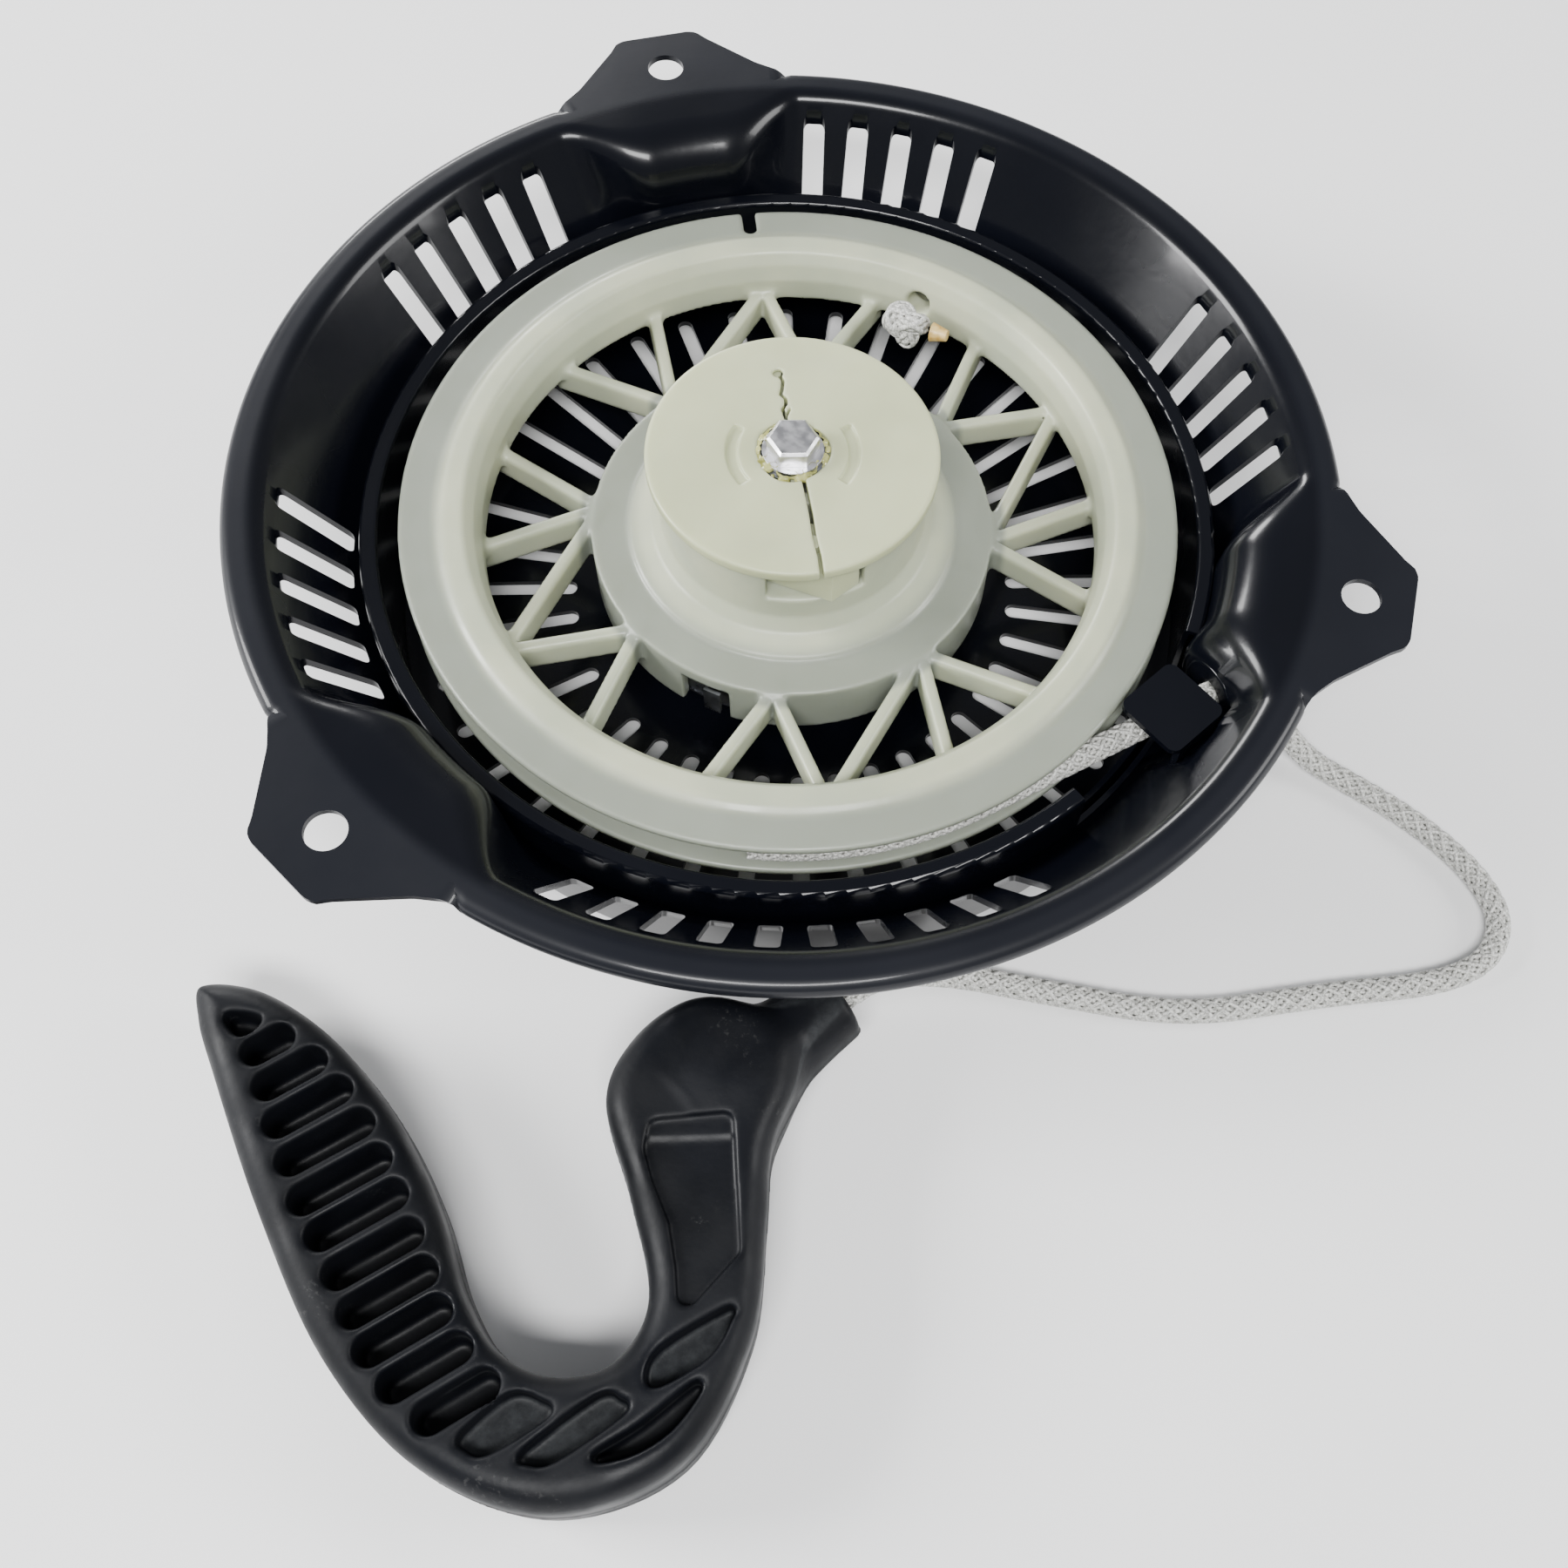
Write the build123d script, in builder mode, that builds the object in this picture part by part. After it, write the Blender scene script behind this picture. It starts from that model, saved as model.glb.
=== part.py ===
from build123d import *
import math
import os

# Recoil starter for a small vertical-shaft engine, seen from the engine side.
# Origin: centre of the three mounting holes, on the mounting plane. +Z points to the engine.
# The closed outer face of the cover rests on the ground at z = GROUND.

os.makedirs("parts", exist_ok=True)

# ---------------------------------------------------------------- driving dimensions (mm, degrees)
SHEET = 1.2                   # pressed steel
MOUNT_RADIUS = 101.0          # mounting hole circle
MOUNT_HOLE_RADIUS = 3.5       # clears M6
EAR_ANGLES = (103.25, -16.75, -136.75)

RIM_RADIUS = 97.0
CONE_TOP_RADIUS = 92.2        # inner face of the cone at the mounting plane
DRUM_RADIUS = 77.3            # inner face of the drum under the cone
VALLEY_Z = -23.3              # where the cone meets the drum
FLOOR_Z = -38.3               # inner face of the floor
GROUND = FLOOR_Z - SHEET
CONE_SLOPE = (CONE_TOP_RADIUS - DRUM_RADIUS) / -VALLEY_Z
CONE_OFFSET = math.sqrt(1 + CONE_SLOPE**2)   # horizontal offset for one unit of thickness

SIDE_SLOT_WIDTH = 4.2
SIDE_SLOT_RADII = (79.4, 89.3)
SIDE_SLOT_PITCH = 5.75
SIDE_SLOT_GROUPS = ((74.4, 5), (15.4, 5), (135.3, 5), (-166.5, 5), (-91.1, 10))
FLOOR_SLOT_COUNT = 40
FLOOR_SLOT_WIDTH = 3.0
FLOOR_SLOT_RADII = (41.6, 70.0)

RING_INNER_RADIUS = 74.0
RING_OUTER_RADIUS = 77.2
RING_TOP_Z = -11.0
RING_SKIRT_Z = -30.0
RING_SHEET = 1.0
WINDOW_ANGLES = (-52.0, -22.0)
WINDOW_SILL_Z = -21.0

PULLEY_RADIUS = 70.0
PULLEY_TOP_Z = -9.0
FLANGE_T = 1.6
GROOVE_WIDTH = 6.2
PULLEY_BOTTOM_Z = PULLEY_TOP_Z - 2 * FLANGE_T - GROOVE_WIDTH - 0.2
BARREL_RADIUS = 60.4          # rope core
RIM_INNER_RADIUS = 56.0
HUB_RADIUS = 24.0
HUB_TOP_Z = 2.2
SKIRT_RADIUS = 36.8
SKIRT_TOP_Z = -15.8
SKIRT_BOTTOM_Z = -27.6
SKIRT_WALL = 2.2
SPRING_ROOF = 2.2             # roof over the mainspring
SPOKE_ROOT_ANGLE = -6.75
SPOKE_ROOTS = 8
SPOKE_WIDTH = 2.3
SPOKE_Z = (-22.5, -16.4)

POST_RADIUS = 7.0
RUNNING_GAP = 0.05
POST_TOP_Z = 0.6
POST_SHOULDER_RADIUS = 13.0
POST_SHOULDER_Z = -28.6

PLATE_RADIUS = 25.7
PLATE_Z = (2.4, 4.9)
PLATE_TURN = 28.0
PAWL_TURN = 22.0
PAWL_Z = (-5.6, 1.9)
PAWL_PIVOT_RADIUS = 16.5
PAWL_PIVOT_ANGLES = (-108.0, 72.0)
WINDOW_OF_PAWL = (5.0, 48.0)  # counted from the pawl's pivot
HUB_WALL = 1.8
PEG_RADIUS = 1.3
PEG_REACH = 8.5               # from the pawl's pivot
PIN_RADIUS = 1.9
PAWL_BOSS_RADIUS = 3.8

ROPE = 4.5
ROPE_R = ROPE / 2
LEAD_RADIUS = 67.25           # rope centre line where it leaves the reel
GROOVE_Z = PULLEY_TOP_Z - FLANGE_T - GROOVE_WIDTH / 2
EXIT_RADIUS = 82.7
EXIT_ANGLE = -28.0
EXIT_Z = GROOVE_Z
EYELET_BORE = 3.2
EYELET_RADIUS = 5.2
EYELET_LIP = 6.6
POCKET_RADIUS = 8.0

GRIP_THICKNESS = 20.0
GRIP_Z = GROUND + GRIP_THICKNESS / 2
STEM_END = (5.6, -88.6)
STEM_ANGLE = 216.0            # from the stem's mouth into the grip


def polar(radius, angle):
    return (radius * math.cos(math.radians(angle)), radius * math.sin(math.radians(angle)))


def turned(point, angle):
    c, s = math.cos(math.radians(angle)), math.sin(math.radians(angle))
    return (point[0] * c - point[1] * s, point[0] * s + point[1] * c)


def save(piece, label):
    piece.part.label = label
    export_step(piece.part, f"parts/{label}.step")


# ---------------------------------------------------------------- where the rope leaves the reel
exit_point = Vector(*polar(EXIT_RADIUS, EXIT_ANGLE), EXIT_Z)
leave_angle = EXIT_ANGLE - math.degrees(math.acos(LEAD_RADIUS / EXIT_RADIUS))
leave_point = Vector(*polar(LEAD_RADIUS, leave_angle), GROOVE_Z)
rope_angle = leave_angle + 90
rope_dir = Vector(*polar(1, rope_angle), 0)
exit_plane = Plane(origin=exit_point, z_dir=rope_dir, x_dir=(0, 0, 1))


# ---------------------------------------------------------------- cover
def bowl_profile(t):
    """Half section of the bowl's inside, grown outwards by t."""
    valley = VALLEY_Z - t * (CONE_OFFSET - 1) / CONE_SLOPE
    return [
        (0, 0),
        (0, FLOOR_Z - t),
        (DRUM_RADIUS + t, FLOOR_Z - t),
        (DRUM_RADIUS + t, valley),
        (CONE_TOP_RADIUS + t * CONE_OFFSET, 0),
    ]


EAR_OUTLINE = [
    (88.0, 26.0), (94.6, 22.8), (98.6, 17.8), (107.6, 9.6), (110.2, 7.4),
    (110.2, -7.4), (107.6, -9.6), (98.6, -17.8), (94.6, -22.8), (88.0, -26.0),
]
LOBE_OUTLINE = [(100.0, 24.0), (86.0, 17.5), (79.5, 12.0), (79.5, -12.0), (86.0, -17.5), (100.0, -24.0)]


def bowl(t):
    """The space inside the cover, grown by t: bowl, less the three lobes, plus the rope's pocket."""
    with BuildPart() as space:
        with BuildSketch(Plane.XZ):
            with BuildLine():
                Polyline(*bowl_profile(t), close=True)
            make_face()
        revolve(axis=Axis.Z)
        for angle in EAR_ANGLES:
            with BuildSketch(Plane.XY.offset(-t)):
                with BuildLine():
                    Polyline(*[turned(p, angle) for p in LOBE_OUTLINE], close=True)
                lobe = make_face()
                fillet(lobe.vertices(), 5)
                if t > 0:
                    offset(amount=-t, mode=Mode.REPLACE)
            extrude(amount=VALLEY_Z + t, mode=Mode.SUBTRACT)
        with BuildSketch(exit_plane.offset(t)):
            Circle(POCKET_RADIUS + t)
        extrude(amount=-18 - t)
    return space


inside = bowl(0)
outside = bowl(SHEET)

with BuildPart() as housing_cover:
    add(outside.part)
    # flange with its edge turned down
    with BuildSketch(Plane.XZ):
        with BuildLine():
            Polyline(
                (90, 0), (RIM_RADIUS - 1.8, 0), (RIM_RADIUS, -1.8), (RIM_RADIUS, -3.4),
                (RIM_RADIUS - SHEET, -3.4), (RIM_RADIUS - SHEET, -2.3),
                (RIM_RADIUS - 2.3, -SHEET), (90, -SHEET), close=True)
        make_face()
    revolve(axis=Axis.Z)
    # flat ears, with no turned edge under them
    for ear_angle in EAR_ANGLES:
        with BuildSketch(Plane.XY) as ear:
            with BuildLine():
                Polyline(*[turned(p, ear_angle) for p in EAR_OUTLINE], close=True)
            make_face()
            fillet(ear.vertices().sort_by_distance((*polar(120, ear_angle), 0))[:2], 2.5)
        extrude(amount=-SHEET)
        with BuildSketch(Plane.XY.offset(-SHEET)):
            with BuildLine():
                Polyline(*[turned((max(p[0], 93.6), p[1]), ear_angle) for p in EAR_OUTLINE], close=True)
            make_face()
        extrude(amount=-4, mode=Mode.SUBTRACT)
    add(inside.part, mode=Mode.SUBTRACT)
    # mounting holes
    with Locations(*[(*polar(MOUNT_RADIUS, a), 0) for a in EAR_ANGLES]):
        Hole(MOUNT_HOLE_RADIUS, depth=2 * SHEET)
    # air slots in the cone
    slot_length = SIDE_SLOT_RADII[1] - SIDE_SLOT_RADII[0]
    slot_middle = sum(SIDE_SLOT_RADII) / 2
    for group_angle, count in SIDE_SLOT_GROUPS:
        for i in range(count):
            slot_angle = group_angle + (i - (count - 1) / 2) * SIDE_SLOT_PITCH
            with BuildSketch(Plane.XY):
                with Locations(Location((*polar(slot_middle, slot_angle), 0), slot_angle)):
                    RectangleRounded(slot_length, SIDE_SLOT_WIDTH, 0.9)
            extrude(amount=VALLEY_Z - 2, mode=Mode.SUBTRACT)
    # air slots in the floor
    with BuildSketch(Plane.XY.offset(FLOOR_Z + 1)):
        with PolarLocations(sum(FLOOR_SLOT_RADII) / 2, FLOOR_SLOT_COUNT):
            SlotOverall(FLOOR_SLOT_RADII[1] - FLOOR_SLOT_RADII[0], FLOOR_SLOT_WIDTH)
    extrude(amount=-SHEET - 2, mode=Mode.SUBTRACT)
    # seat of the centre post, and the rope's hole
    with Locations((0, 0, FLOOR_Z)):
        Hole(5.0, depth=2 * SHEET)
    with BuildSketch(exit_plane.offset(-1)):
        Circle(EYELET_RADIUS)
    extrude(amount=12, mode=Mode.SUBTRACT)
save(housing_cover, "housing_cover")

with BuildPart() as guard_ring:
    with BuildSketch(Plane.XZ):
        with BuildLine():
            Polyline(
                (RING_INNER_RADIUS, FLOOR_Z), (RING_INNER_RADIUS, RING_TOP_Z),
                (RING_OUTER_RADIUS, RING_TOP_Z), (RING_OUTER_RADIUS, RING_SKIRT_Z),
                (RING_OUTER_RADIUS - RING_SHEET, RING_SKIRT_Z),
                (RING_OUTER_RADIUS - RING_SHEET, RING_TOP_Z - RING_SHEET),
                (RING_INNER_RADIUS + RING_SHEET, RING_TOP_Z - RING_SHEET),
                (RING_INNER_RADIUS + RING_SHEET, FLOOR_Z), close=True)
        make_face()
    revolve(axis=Axis.Z)
    fillet(guard_ring.edges().filter_by(GeomType.CIRCLE).group_by(Axis.Z)[-1], 0.8)
    # window for the rope
    with BuildSketch(Plane.XY.offset(RING_TOP_Z + 1)):
        with BuildLine():
            Polyline((0, 0), polar(95, WINDOW_ANGLES[0]), polar(104, sum(WINDOW_ANGLES) / 2),
                     polar(95, WINDOW_ANGLES[1]), close=True)
        make_face()
    extrude(amount=WINDOW_SILL_Z - RING_TOP_Z - 1, mode=Mode.SUBTRACT)
save(guard_ring, "guard_ring")

GUARD_CENTRE = (63.4, -45.6)
GUARD_TURN = 40.0
GUARD_SIDE = 13.0
GUARD_TOP_Z = -7.0
guard_plane = Plane(origin=(*GUARD_CENTRE, GUARD_TOP_Z), x_dir=(*polar(1, GUARD_TURN), 0), z_dir=(0, 0, 1))
with BuildPart() as rope_guard:
    with BuildSketch(guard_plane):
        RectangleRounded(GUARD_SIDE, GUARD_SIDE, 1.8)
    extrude(amount=-SHEET)
    with BuildSketch(guard_plane):
        with Locations((0, -GUARD_SIDE / 2 + SHEET / 2)):
            Rectangle(GUARD_SIDE - 3.6, SHEET)
    extrude(amount=-20)
    add(inside.part, mode=Mode.INTERSECT)
save(rope_guard, "rope_guard")

with BuildPart() as rope_eyelet:
    with BuildSketch(exit_plane.offset(-1.4)) as lip_face:
        Circle(EYELET_LIP)
    extrude(amount=1.4)
    with BuildSketch(exit_plane):
        Circle(EYELET_RADIUS)
    extrude(amount=SHEET)
    with BuildSketch(exit_plane.offset(SHEET)):
        Circle(EYELET_LIP)
    extrude(amount=1.2)
    with BuildSketch(exit_plane.offset(-1.4)):
        Circle(EYELET_BORE)
    extrude(amount=8, mode=Mode.SUBTRACT)
    fillet(rope_eyelet.edges().filter_by(GeomType.CIRCLE).group_by(SortBy.RADIUS)[-1], 0.5)
save(rope_eyelet, "rope_eyelet")

with BuildPart() as centre_post:
    with BuildSketch(Plane.XZ):
        with BuildLine():
            Polyline(
                (0, GROUND + 0.2), (5.0, GROUND + 0.2), (5.0, FLOOR_Z), (POST_SHOULDER_RADIUS, FLOOR_Z),
                (POST_SHOULDER_RADIUS, POST_SHOULDER_Z), (POST_RADIUS, POST_SHOULDER_Z),
                (POST_RADIUS, POST_TOP_Z - 0.8), (POST_RADIUS - 0.8, POST_TOP_Z), (0, POST_TOP_Z), close=True)
        make_face()
    revolve(axis=Axis.Z)
    with Locations((0, 0, POST_TOP_Z)):
        Hole(2.5, depth=16)
save(centre_post, "centre_post")

# ---------------------------------------------------------------- reel
spoke_step = 360 / SPOKE_ROOTS / 2
spoke_legs = []
for root in range(SPOKE_ROOTS):
    root_angle = SPOKE_ROOT_ANGLE + root * 360 / SPOKE_ROOTS
    spoke_legs += [(root_angle, root_angle + spoke_step / 2), (root_angle, root_angle - spoke_step / 2)]
    if root in (0, 4):
        spoke_legs.append((root_angle, root_angle + spoke_step * 1.5))
    if root in (3, 7):
        spoke_legs.append((root_angle, root_angle - spoke_step * 1.5))

with BuildPart() as pulley:
    # rim with the rope groove, and a rounded inner edge
    with BuildSketch(Plane.XZ):
        with BuildLine():
            top = PULLEY_TOP_Z
            bottom = PULLEY_BOTTOM_Z
            FilletPolyline(
                (RIM_INNER_RADIUS, bottom), (RIM_INNER_RADIUS, top - 4.6), (RIM_INNER_RADIUS + 2.6, top + 0.9),
                (RIM_INNER_RADIUS + 6.2, top + 0.9), (RIM_INNER_RADIUS + 7.6, top), (PULLEY_RADIUS, top),
                (PULLEY_RADIUS, top - FLANGE_T), (BARREL_RADIUS, top - FLANGE_T - 0.2),
                (BARREL_RADIUS, bottom + FLANGE_T + 0.2), (PULLEY_RADIUS, bottom + FLANGE_T),
                (PULLEY_RADIUS, bottom), radius=0.5, close=True)
        make_face()
    revolve(axis=Axis.Z)
    # hub, spring housing roof and skirt
    with BuildSketch(Plane.XZ):
        with BuildLine():
            Polyline(
                (POST_RADIUS + RUNNING_GAP, SKIRT_TOP_Z - SPRING_ROOF - 3.0),
                (POST_RADIUS + RUNNING_GAP, HUB_TOP_Z), (HUB_RADIUS, HUB_TOP_Z), (HUB_RADIUS, SKIRT_TOP_Z + 5),
                (HUB_RADIUS + 1.6, SKIRT_TOP_Z + 2.2), (HUB_RADIUS + 6.0, SKIRT_TOP_Z + 0.6),
                (HUB_RADIUS + 6.0, SKIRT_TOP_Z), (SKIRT_RADIUS, SKIRT_TOP_Z), (SKIRT_RADIUS, SKIRT_BOTTOM_Z),
                (SKIRT_RADIUS - SKIRT_WALL, SKIRT_BOTTOM_Z),
                (SKIRT_RADIUS - SKIRT_WALL, SKIRT_TOP_Z - SPRING_ROOF),
                (POST_RADIUS + 3.0, SKIRT_TOP_Z - SPRING_ROOF),
                (POST_RADIUS + 3.0, SKIRT_TOP_Z - SPRING_ROOF - 3.0), close=True)
        make_face()
    revolve(axis=Axis.Z)
    # spokes in zigzag between hub and rim
    with BuildSketch(Plane.XY.offset(SPOKE_Z[0])):
        for root_angle, rim_angle in spoke_legs:
            start = Vector(*polar(SKIRT_RADIUS - 0.8, root_angle))
            end = Vector(*polar(RIM_INNER_RADIUS + 0.8, rim_angle))
            leg = end - start
            middle = (start + end) * 0.5
            with Locations(Location((middle.X, middle.Y, 0), math.degrees(math.atan2(leg.Y, leg.X)))):
                Rectangle(leg.length, SPOKE_WIDTH)
    extrude(amount=SPOKE_Z[1] - SPOKE_Z[0])
    # rope notch in the upper flange
    with BuildSketch(Plane.XY.offset(PULLEY_TOP_Z + 0.5)):
        with Locations(Location((*polar(69.0, 96.0), 0), 96.0)):
            SlotOverall(8.6, 2.6)
    extrude(amount=-FLANGE_T - 1.0, mode=Mode.SUBTRACT)
    # hole that takes the rope through the barrel to its knot
    with BuildSketch(Plane(origin=(*polar(RIM_INNER_RADIUS - 1, 62.7), GROOVE_Z),
                           x_dir=(0, 0, 1), z_dir=(*polar(1, 62.7), 0))):
        Circle(ROPE_R + 0.1)
    extrude(amount=8, mode=Mode.SUBTRACT)
    # spring hook notch in the skirt
    with BuildSketch(Plane.XY.offset(SKIRT_BOTTOM_Z)):
        with Locations(Location((*polar(SKIRT_RADIUS - 1, -116.5), 0), -116.5)):
            Rectangle(6, 9)
    extrude(amount=8.6, mode=Mode.SUBTRACT)
    # pawl pockets and their windows in the hub wall
    for pivot_angle in PAWL_PIVOT_ANGLES:
        with BuildSketch(Plane.XY.offset(PAWL_Z[0] - 0.2)):
            with BuildLine():
                inner = POST_RADIUS + 2.6
                outer = HUB_RADIUS - HUB_WALL
                ThreePointArc(polar(outer, pivot_angle - 20), polar(outer, pivot_angle + 15),
                              polar(outer, pivot_angle + 52))
                Line(polar(outer, pivot_angle + 52), polar(inner, pivot_angle + 52))
                ThreePointArc(polar(inner, pivot_angle + 52), polar(inner, pivot_angle + 15),
                              polar(inner, pivot_angle - 20))
                Line(polar(inner, pivot_angle - 20), polar(outer, pivot_angle - 20))
            make_face()
            with BuildLine():
                Polyline(polar(20, pivot_angle + WINDOW_OF_PAWL[0]), polar(30, pivot_angle + WINDOW_OF_PAWL[0]),
                         polar(32, pivot_angle + 28), polar(30, pivot_angle + WINDOW_OF_PAWL[1]),
                         polar(20, pivot_angle + WINDOW_OF_PAWL[1]), close=True)
            make_face()
        extrude(amount=HUB_TOP_Z - PAWL_Z[0] + 1, mode=Mode.SUBTRACT)
        # pivot pin moulded on the pocket's floor
        with BuildSketch(Plane.XY.offset(PAWL_Z[0] - 0.4)):
            with Locations(polar(PAWL_PIVOT_RADIUS, pivot_angle)):
                Circle(PIN_RADIUS)
        extrude(amount=PAWL_Z[1] - PAWL_Z[0])
save(pulley, "pulley")

# pawl outlines are drawn with the pivot at the origin and the tangent along +X
TIP_RADIUS = HUB_RADIUS - 0.4


def seen_from_pivot(radius, angle):
    """A point of the hub, given by radius and angle from the pivot, in the pawl's own frame."""
    x, y = polar(radius, angle)
    return (y, x - PAWL_PIVOT_RADIUS)


for pawl_name, pivot_angle in zip(("pawl_a", "pawl_b"), PAWL_PIVOT_ANGLES):
    pivot_plane = Plane(origin=(*polar(PAWL_PIVOT_RADIUS, pivot_angle), PAWL_Z[0]),
                        x_dir=(*polar(1, pivot_angle + 90), 0), z_dir=(0, 0, -1))
    with BuildPart() as pawl:
        with BuildSketch(pivot_plane):
            Circle(PAWL_BOSS_RADIUS)
            with BuildLine():
                tip = seen_from_pivot(TIP_RADIUS, 45)
                heel = seen_from_pivot(TIP_RADIUS, 24)
                over = seen_from_pivot(TIP_RADIUS, 34)
                flipped = [(p[0], -p[1]) for p in (heel, over, tip)]
                ThreePointArc(*flipped)
                Polyline(flipped[2], (tip[0] - 3.4, -tip[1] + 5.0), (0, PAWL_BOSS_RADIUS),
                         (0, -PAWL_BOSS_RADIUS), flipped[0])
            make_face()
        extrude(amount=-(PAWL_Z[1] - PAWL_Z[0]))
        with BuildSketch(pivot_plane):
            Circle(PIN_RADIUS + RUNNING_GAP)
        extrude(amount=-(PAWL_Z[1] - PAWL_Z[0]), mode=Mode.SUBTRACT)
        # peg that runs in the guide plate's slot
        with BuildSketch(pivot_plane.offset(-(PAWL_Z[1] - PAWL_Z[0]))):
            with Locations((PEG_REACH, 0)):
                Circle(PEG_RADIUS)
        extrude(amount=-1.8)
    save(pawl, pawl_name)

with BuildPart() as rope_winding:
    with BuildSketch(Plane.XZ):
        with Locations(((BARREL_RADIUS + LEAD_RADIUS - ROPE_R) / 2, GROOVE_Z)):
            RectangleRounded(LEAD_RADIUS - ROPE_R - BARREL_RADIUS - 0.4, ROPE, 1.0)
    revolve(axis=Axis.Z)
save(rope_winding, "rope_winding")

KNOT_ANGLE = 62.7
with BuildPart() as reel_knot:
    with BuildSketch(Plane(origin=(*polar(RIM_INNER_RADIUS - 0.4, KNOT_ANGLE), GROOVE_Z),
                           x_dir=(0, 0, 1), z_dir=(*polar(-1, KNOT_ANGLE), 0))):
        Circle(2.4)
    extrude(amount=2)
    with Locations((*polar(50.4, KNOT_ANGLE), GROOVE_Z)):
        Sphere(4.8)
save(reel_knot, "reel_knot")

with BuildPart() as knot_tip:
    tip_start = Vector(*polar(50.4, KNOT_ANGLE), GROOVE_Z) + Vector(4.9, -2.2, 0.4)
    with BuildSketch(Plane(origin=tip_start, z_dir=(0.9, -0.42, 0.1))):
        Circle(1.9)
    extrude(amount=3.2, taper=14)
save(knot_tip, "knot_tip")

# ---------------------------------------------------------------- mainspring: flat spiral strip
SPRING_TURNS = 6
SPRING_THICK = 0.5
SPRING_INNER = 10.6
SPRING_OUTER = SKIRT_RADIUS - SKIRT_WALL - 0.5
SPRING_Z = (SKIRT_BOTTOM_Z + 0.9, SKIRT_TOP_Z - SPRING_ROOF - 0.4)
SPRING_END_ANGLE = -116.5
spring_points = []
for i in range(SPRING_TURNS * 12 + 1):
    turn_part = i / (SPRING_TURNS * 12)
    spring_points.append(polar(SPRING_INNER + (SPRING_OUTER - SPRING_INNER) * turn_part**0.9,
                               SPRING_END_ANGLE - 360 * SPRING_TURNS * (1 - turn_part)))
with BuildPart() as mainspring:
    with BuildSketch(Plane.XY.offset(SPRING_Z[0])):
        with BuildLine():
            strip_line = Spline(*spring_points)
        trace(strip_line, line_width=SPRING_THICK)
    extrude(amount=SPRING_Z[1] - SPRING_Z[0])
save(mainspring, "mainspring")

with BuildPart() as spring_hook:
    hook_plane = Plane(origin=(*polar(SPRING_OUTER + 0.4, SPRING_END_ANGLE), SPRING_Z[0] + 1),
                       x_dir=(*polar(1, SPRING_END_ANGLE), 0), z_dir=(0, 0, 1))
    with BuildSketch(hook_plane):
        with BuildLine():
            Polyline((0, 0), (2.8, 0.0), (2.8, 3.2), (2.2, 3.2), (2.2, 0.6), (0, 0.6), close=True)
        make_face()
    extrude(amount=SPRING_Z[1] - SPRING_Z[0] - 2)
save(spring_hook, "spring_hook")

with BuildPart() as spring_cover:
    with BuildSketch(Plane.XY.offset(SKIRT_BOTTOM_Z)):
        Circle(SKIRT_RADIUS - SKIRT_WALL)
        Circle(POST_RADIUS + 1.0, mode=Mode.SUBTRACT)
    extrude(amount=0.7)
save(spring_cover, "spring_cover")

# ---------------------------------------------------------------- guide plate and its fixings
with BuildPart() as guide_plate:
    with BuildSketch(Plane.XY.offset(PLATE_Z[0])):
        Circle(PLATE_RADIUS)
        Circle(3.3, mode=Mode.SUBTRACT)
    extrude(amount=PLATE_Z[1] - PLATE_Z[0])
    fillet(guide_plate.edges().filter_by(GeomType.CIRCLE).group_by(SortBy.RADIUS)[-1], 0.5)
    # dished seat for the friction spring
    with BuildSketch(Plane.XY.offset(PLATE_Z[1])):
        Circle(6.6)
    extrude(amount=-1.1, mode=Mode.SUBTRACT)
    # slit from the bore to the edge
    with BuildSketch(Plane.XY.offset(PLATE_Z[1])):
        with Locations(Location((*polar(14.6, -79), 0), -79)):
            Rectangle(24, 0.5)
    extrude(amount=-3, mode=Mode.SUBTRACT)
    # slots in which the pawls' pegs run as the plate turns
    for pivot_angle in PAWL_PIVOT_ANGLES:
        steps = 8
        with BuildSketch(Plane.XY.offset(PLATE_Z[0])):
            for step in range(steps + 1):
                share = step / steps
                peg = turned((PEG_REACH, 0), pivot_angle + 90 - PAWL_TURN * share)
                pivot = polar(PAWL_PIVOT_RADIUS, pivot_angle)
                with Locations(turned((pivot[0] + peg[0], pivot[1] + peg[1]), -PLATE_TURN * share)):
                    Circle(PEG_RADIUS + 0.45)
        extrude(amount=1.5, mode=Mode.SUBTRACT)
save(guide_plate, "guide_plate")

with BuildPart() as friction_spring:
    with BuildSketch(Plane.XY.offset(PLATE_Z[1] - 1.0)):
        Circle(6.2)
        Circle(3.2, mode=Mode.SUBTRACT)
        with Locations((0, -5)):
            Rectangle(1.2, 5, mode=Mode.SUBTRACT)
    extrude(amount=0.5)
save(friction_spring, "friction_spring")

BOLT_SEAT_Z = PLATE_Z[1] - 0.4
with BuildPart() as bolt_washer:
    with BuildSketch(Plane.XY.offset(BOLT_SEAT_Z)):
        Circle(5.4)
        Circle(3.1, mode=Mode.SUBTRACT)
    extrude(amount=0.8)
save(bolt_washer, "bolt_washer")

with BuildPart() as bolt_spacer:
    with BuildSketch(Plane.XY.offset(POST_TOP_Z)):
        Circle(3.1)
        Circle(2.55, mode=Mode.SUBTRACT)
    extrude(amount=BOLT_SEAT_Z - POST_TOP_Z)
save(bolt_spacer, "bolt_spacer")

with BuildPart() as centre_bolt:
    with BuildSketch(Plane.XY.offset(BOLT_SEAT_Z + 0.8)):
        RegularPolygon(4.0, 6, major_radius=False)
    extrude(amount=3.4)
    chamfer(centre_bolt.faces().sort_by(Axis.Z)[-1].edges(), 0.5)
    with BuildSketch(Plane.XY.offset(BOLT_SEAT_Z + 0.8)):
        Circle(2.5)
    extrude(amount=-16)
save(centre_bolt, "centre_bolt")

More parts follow.
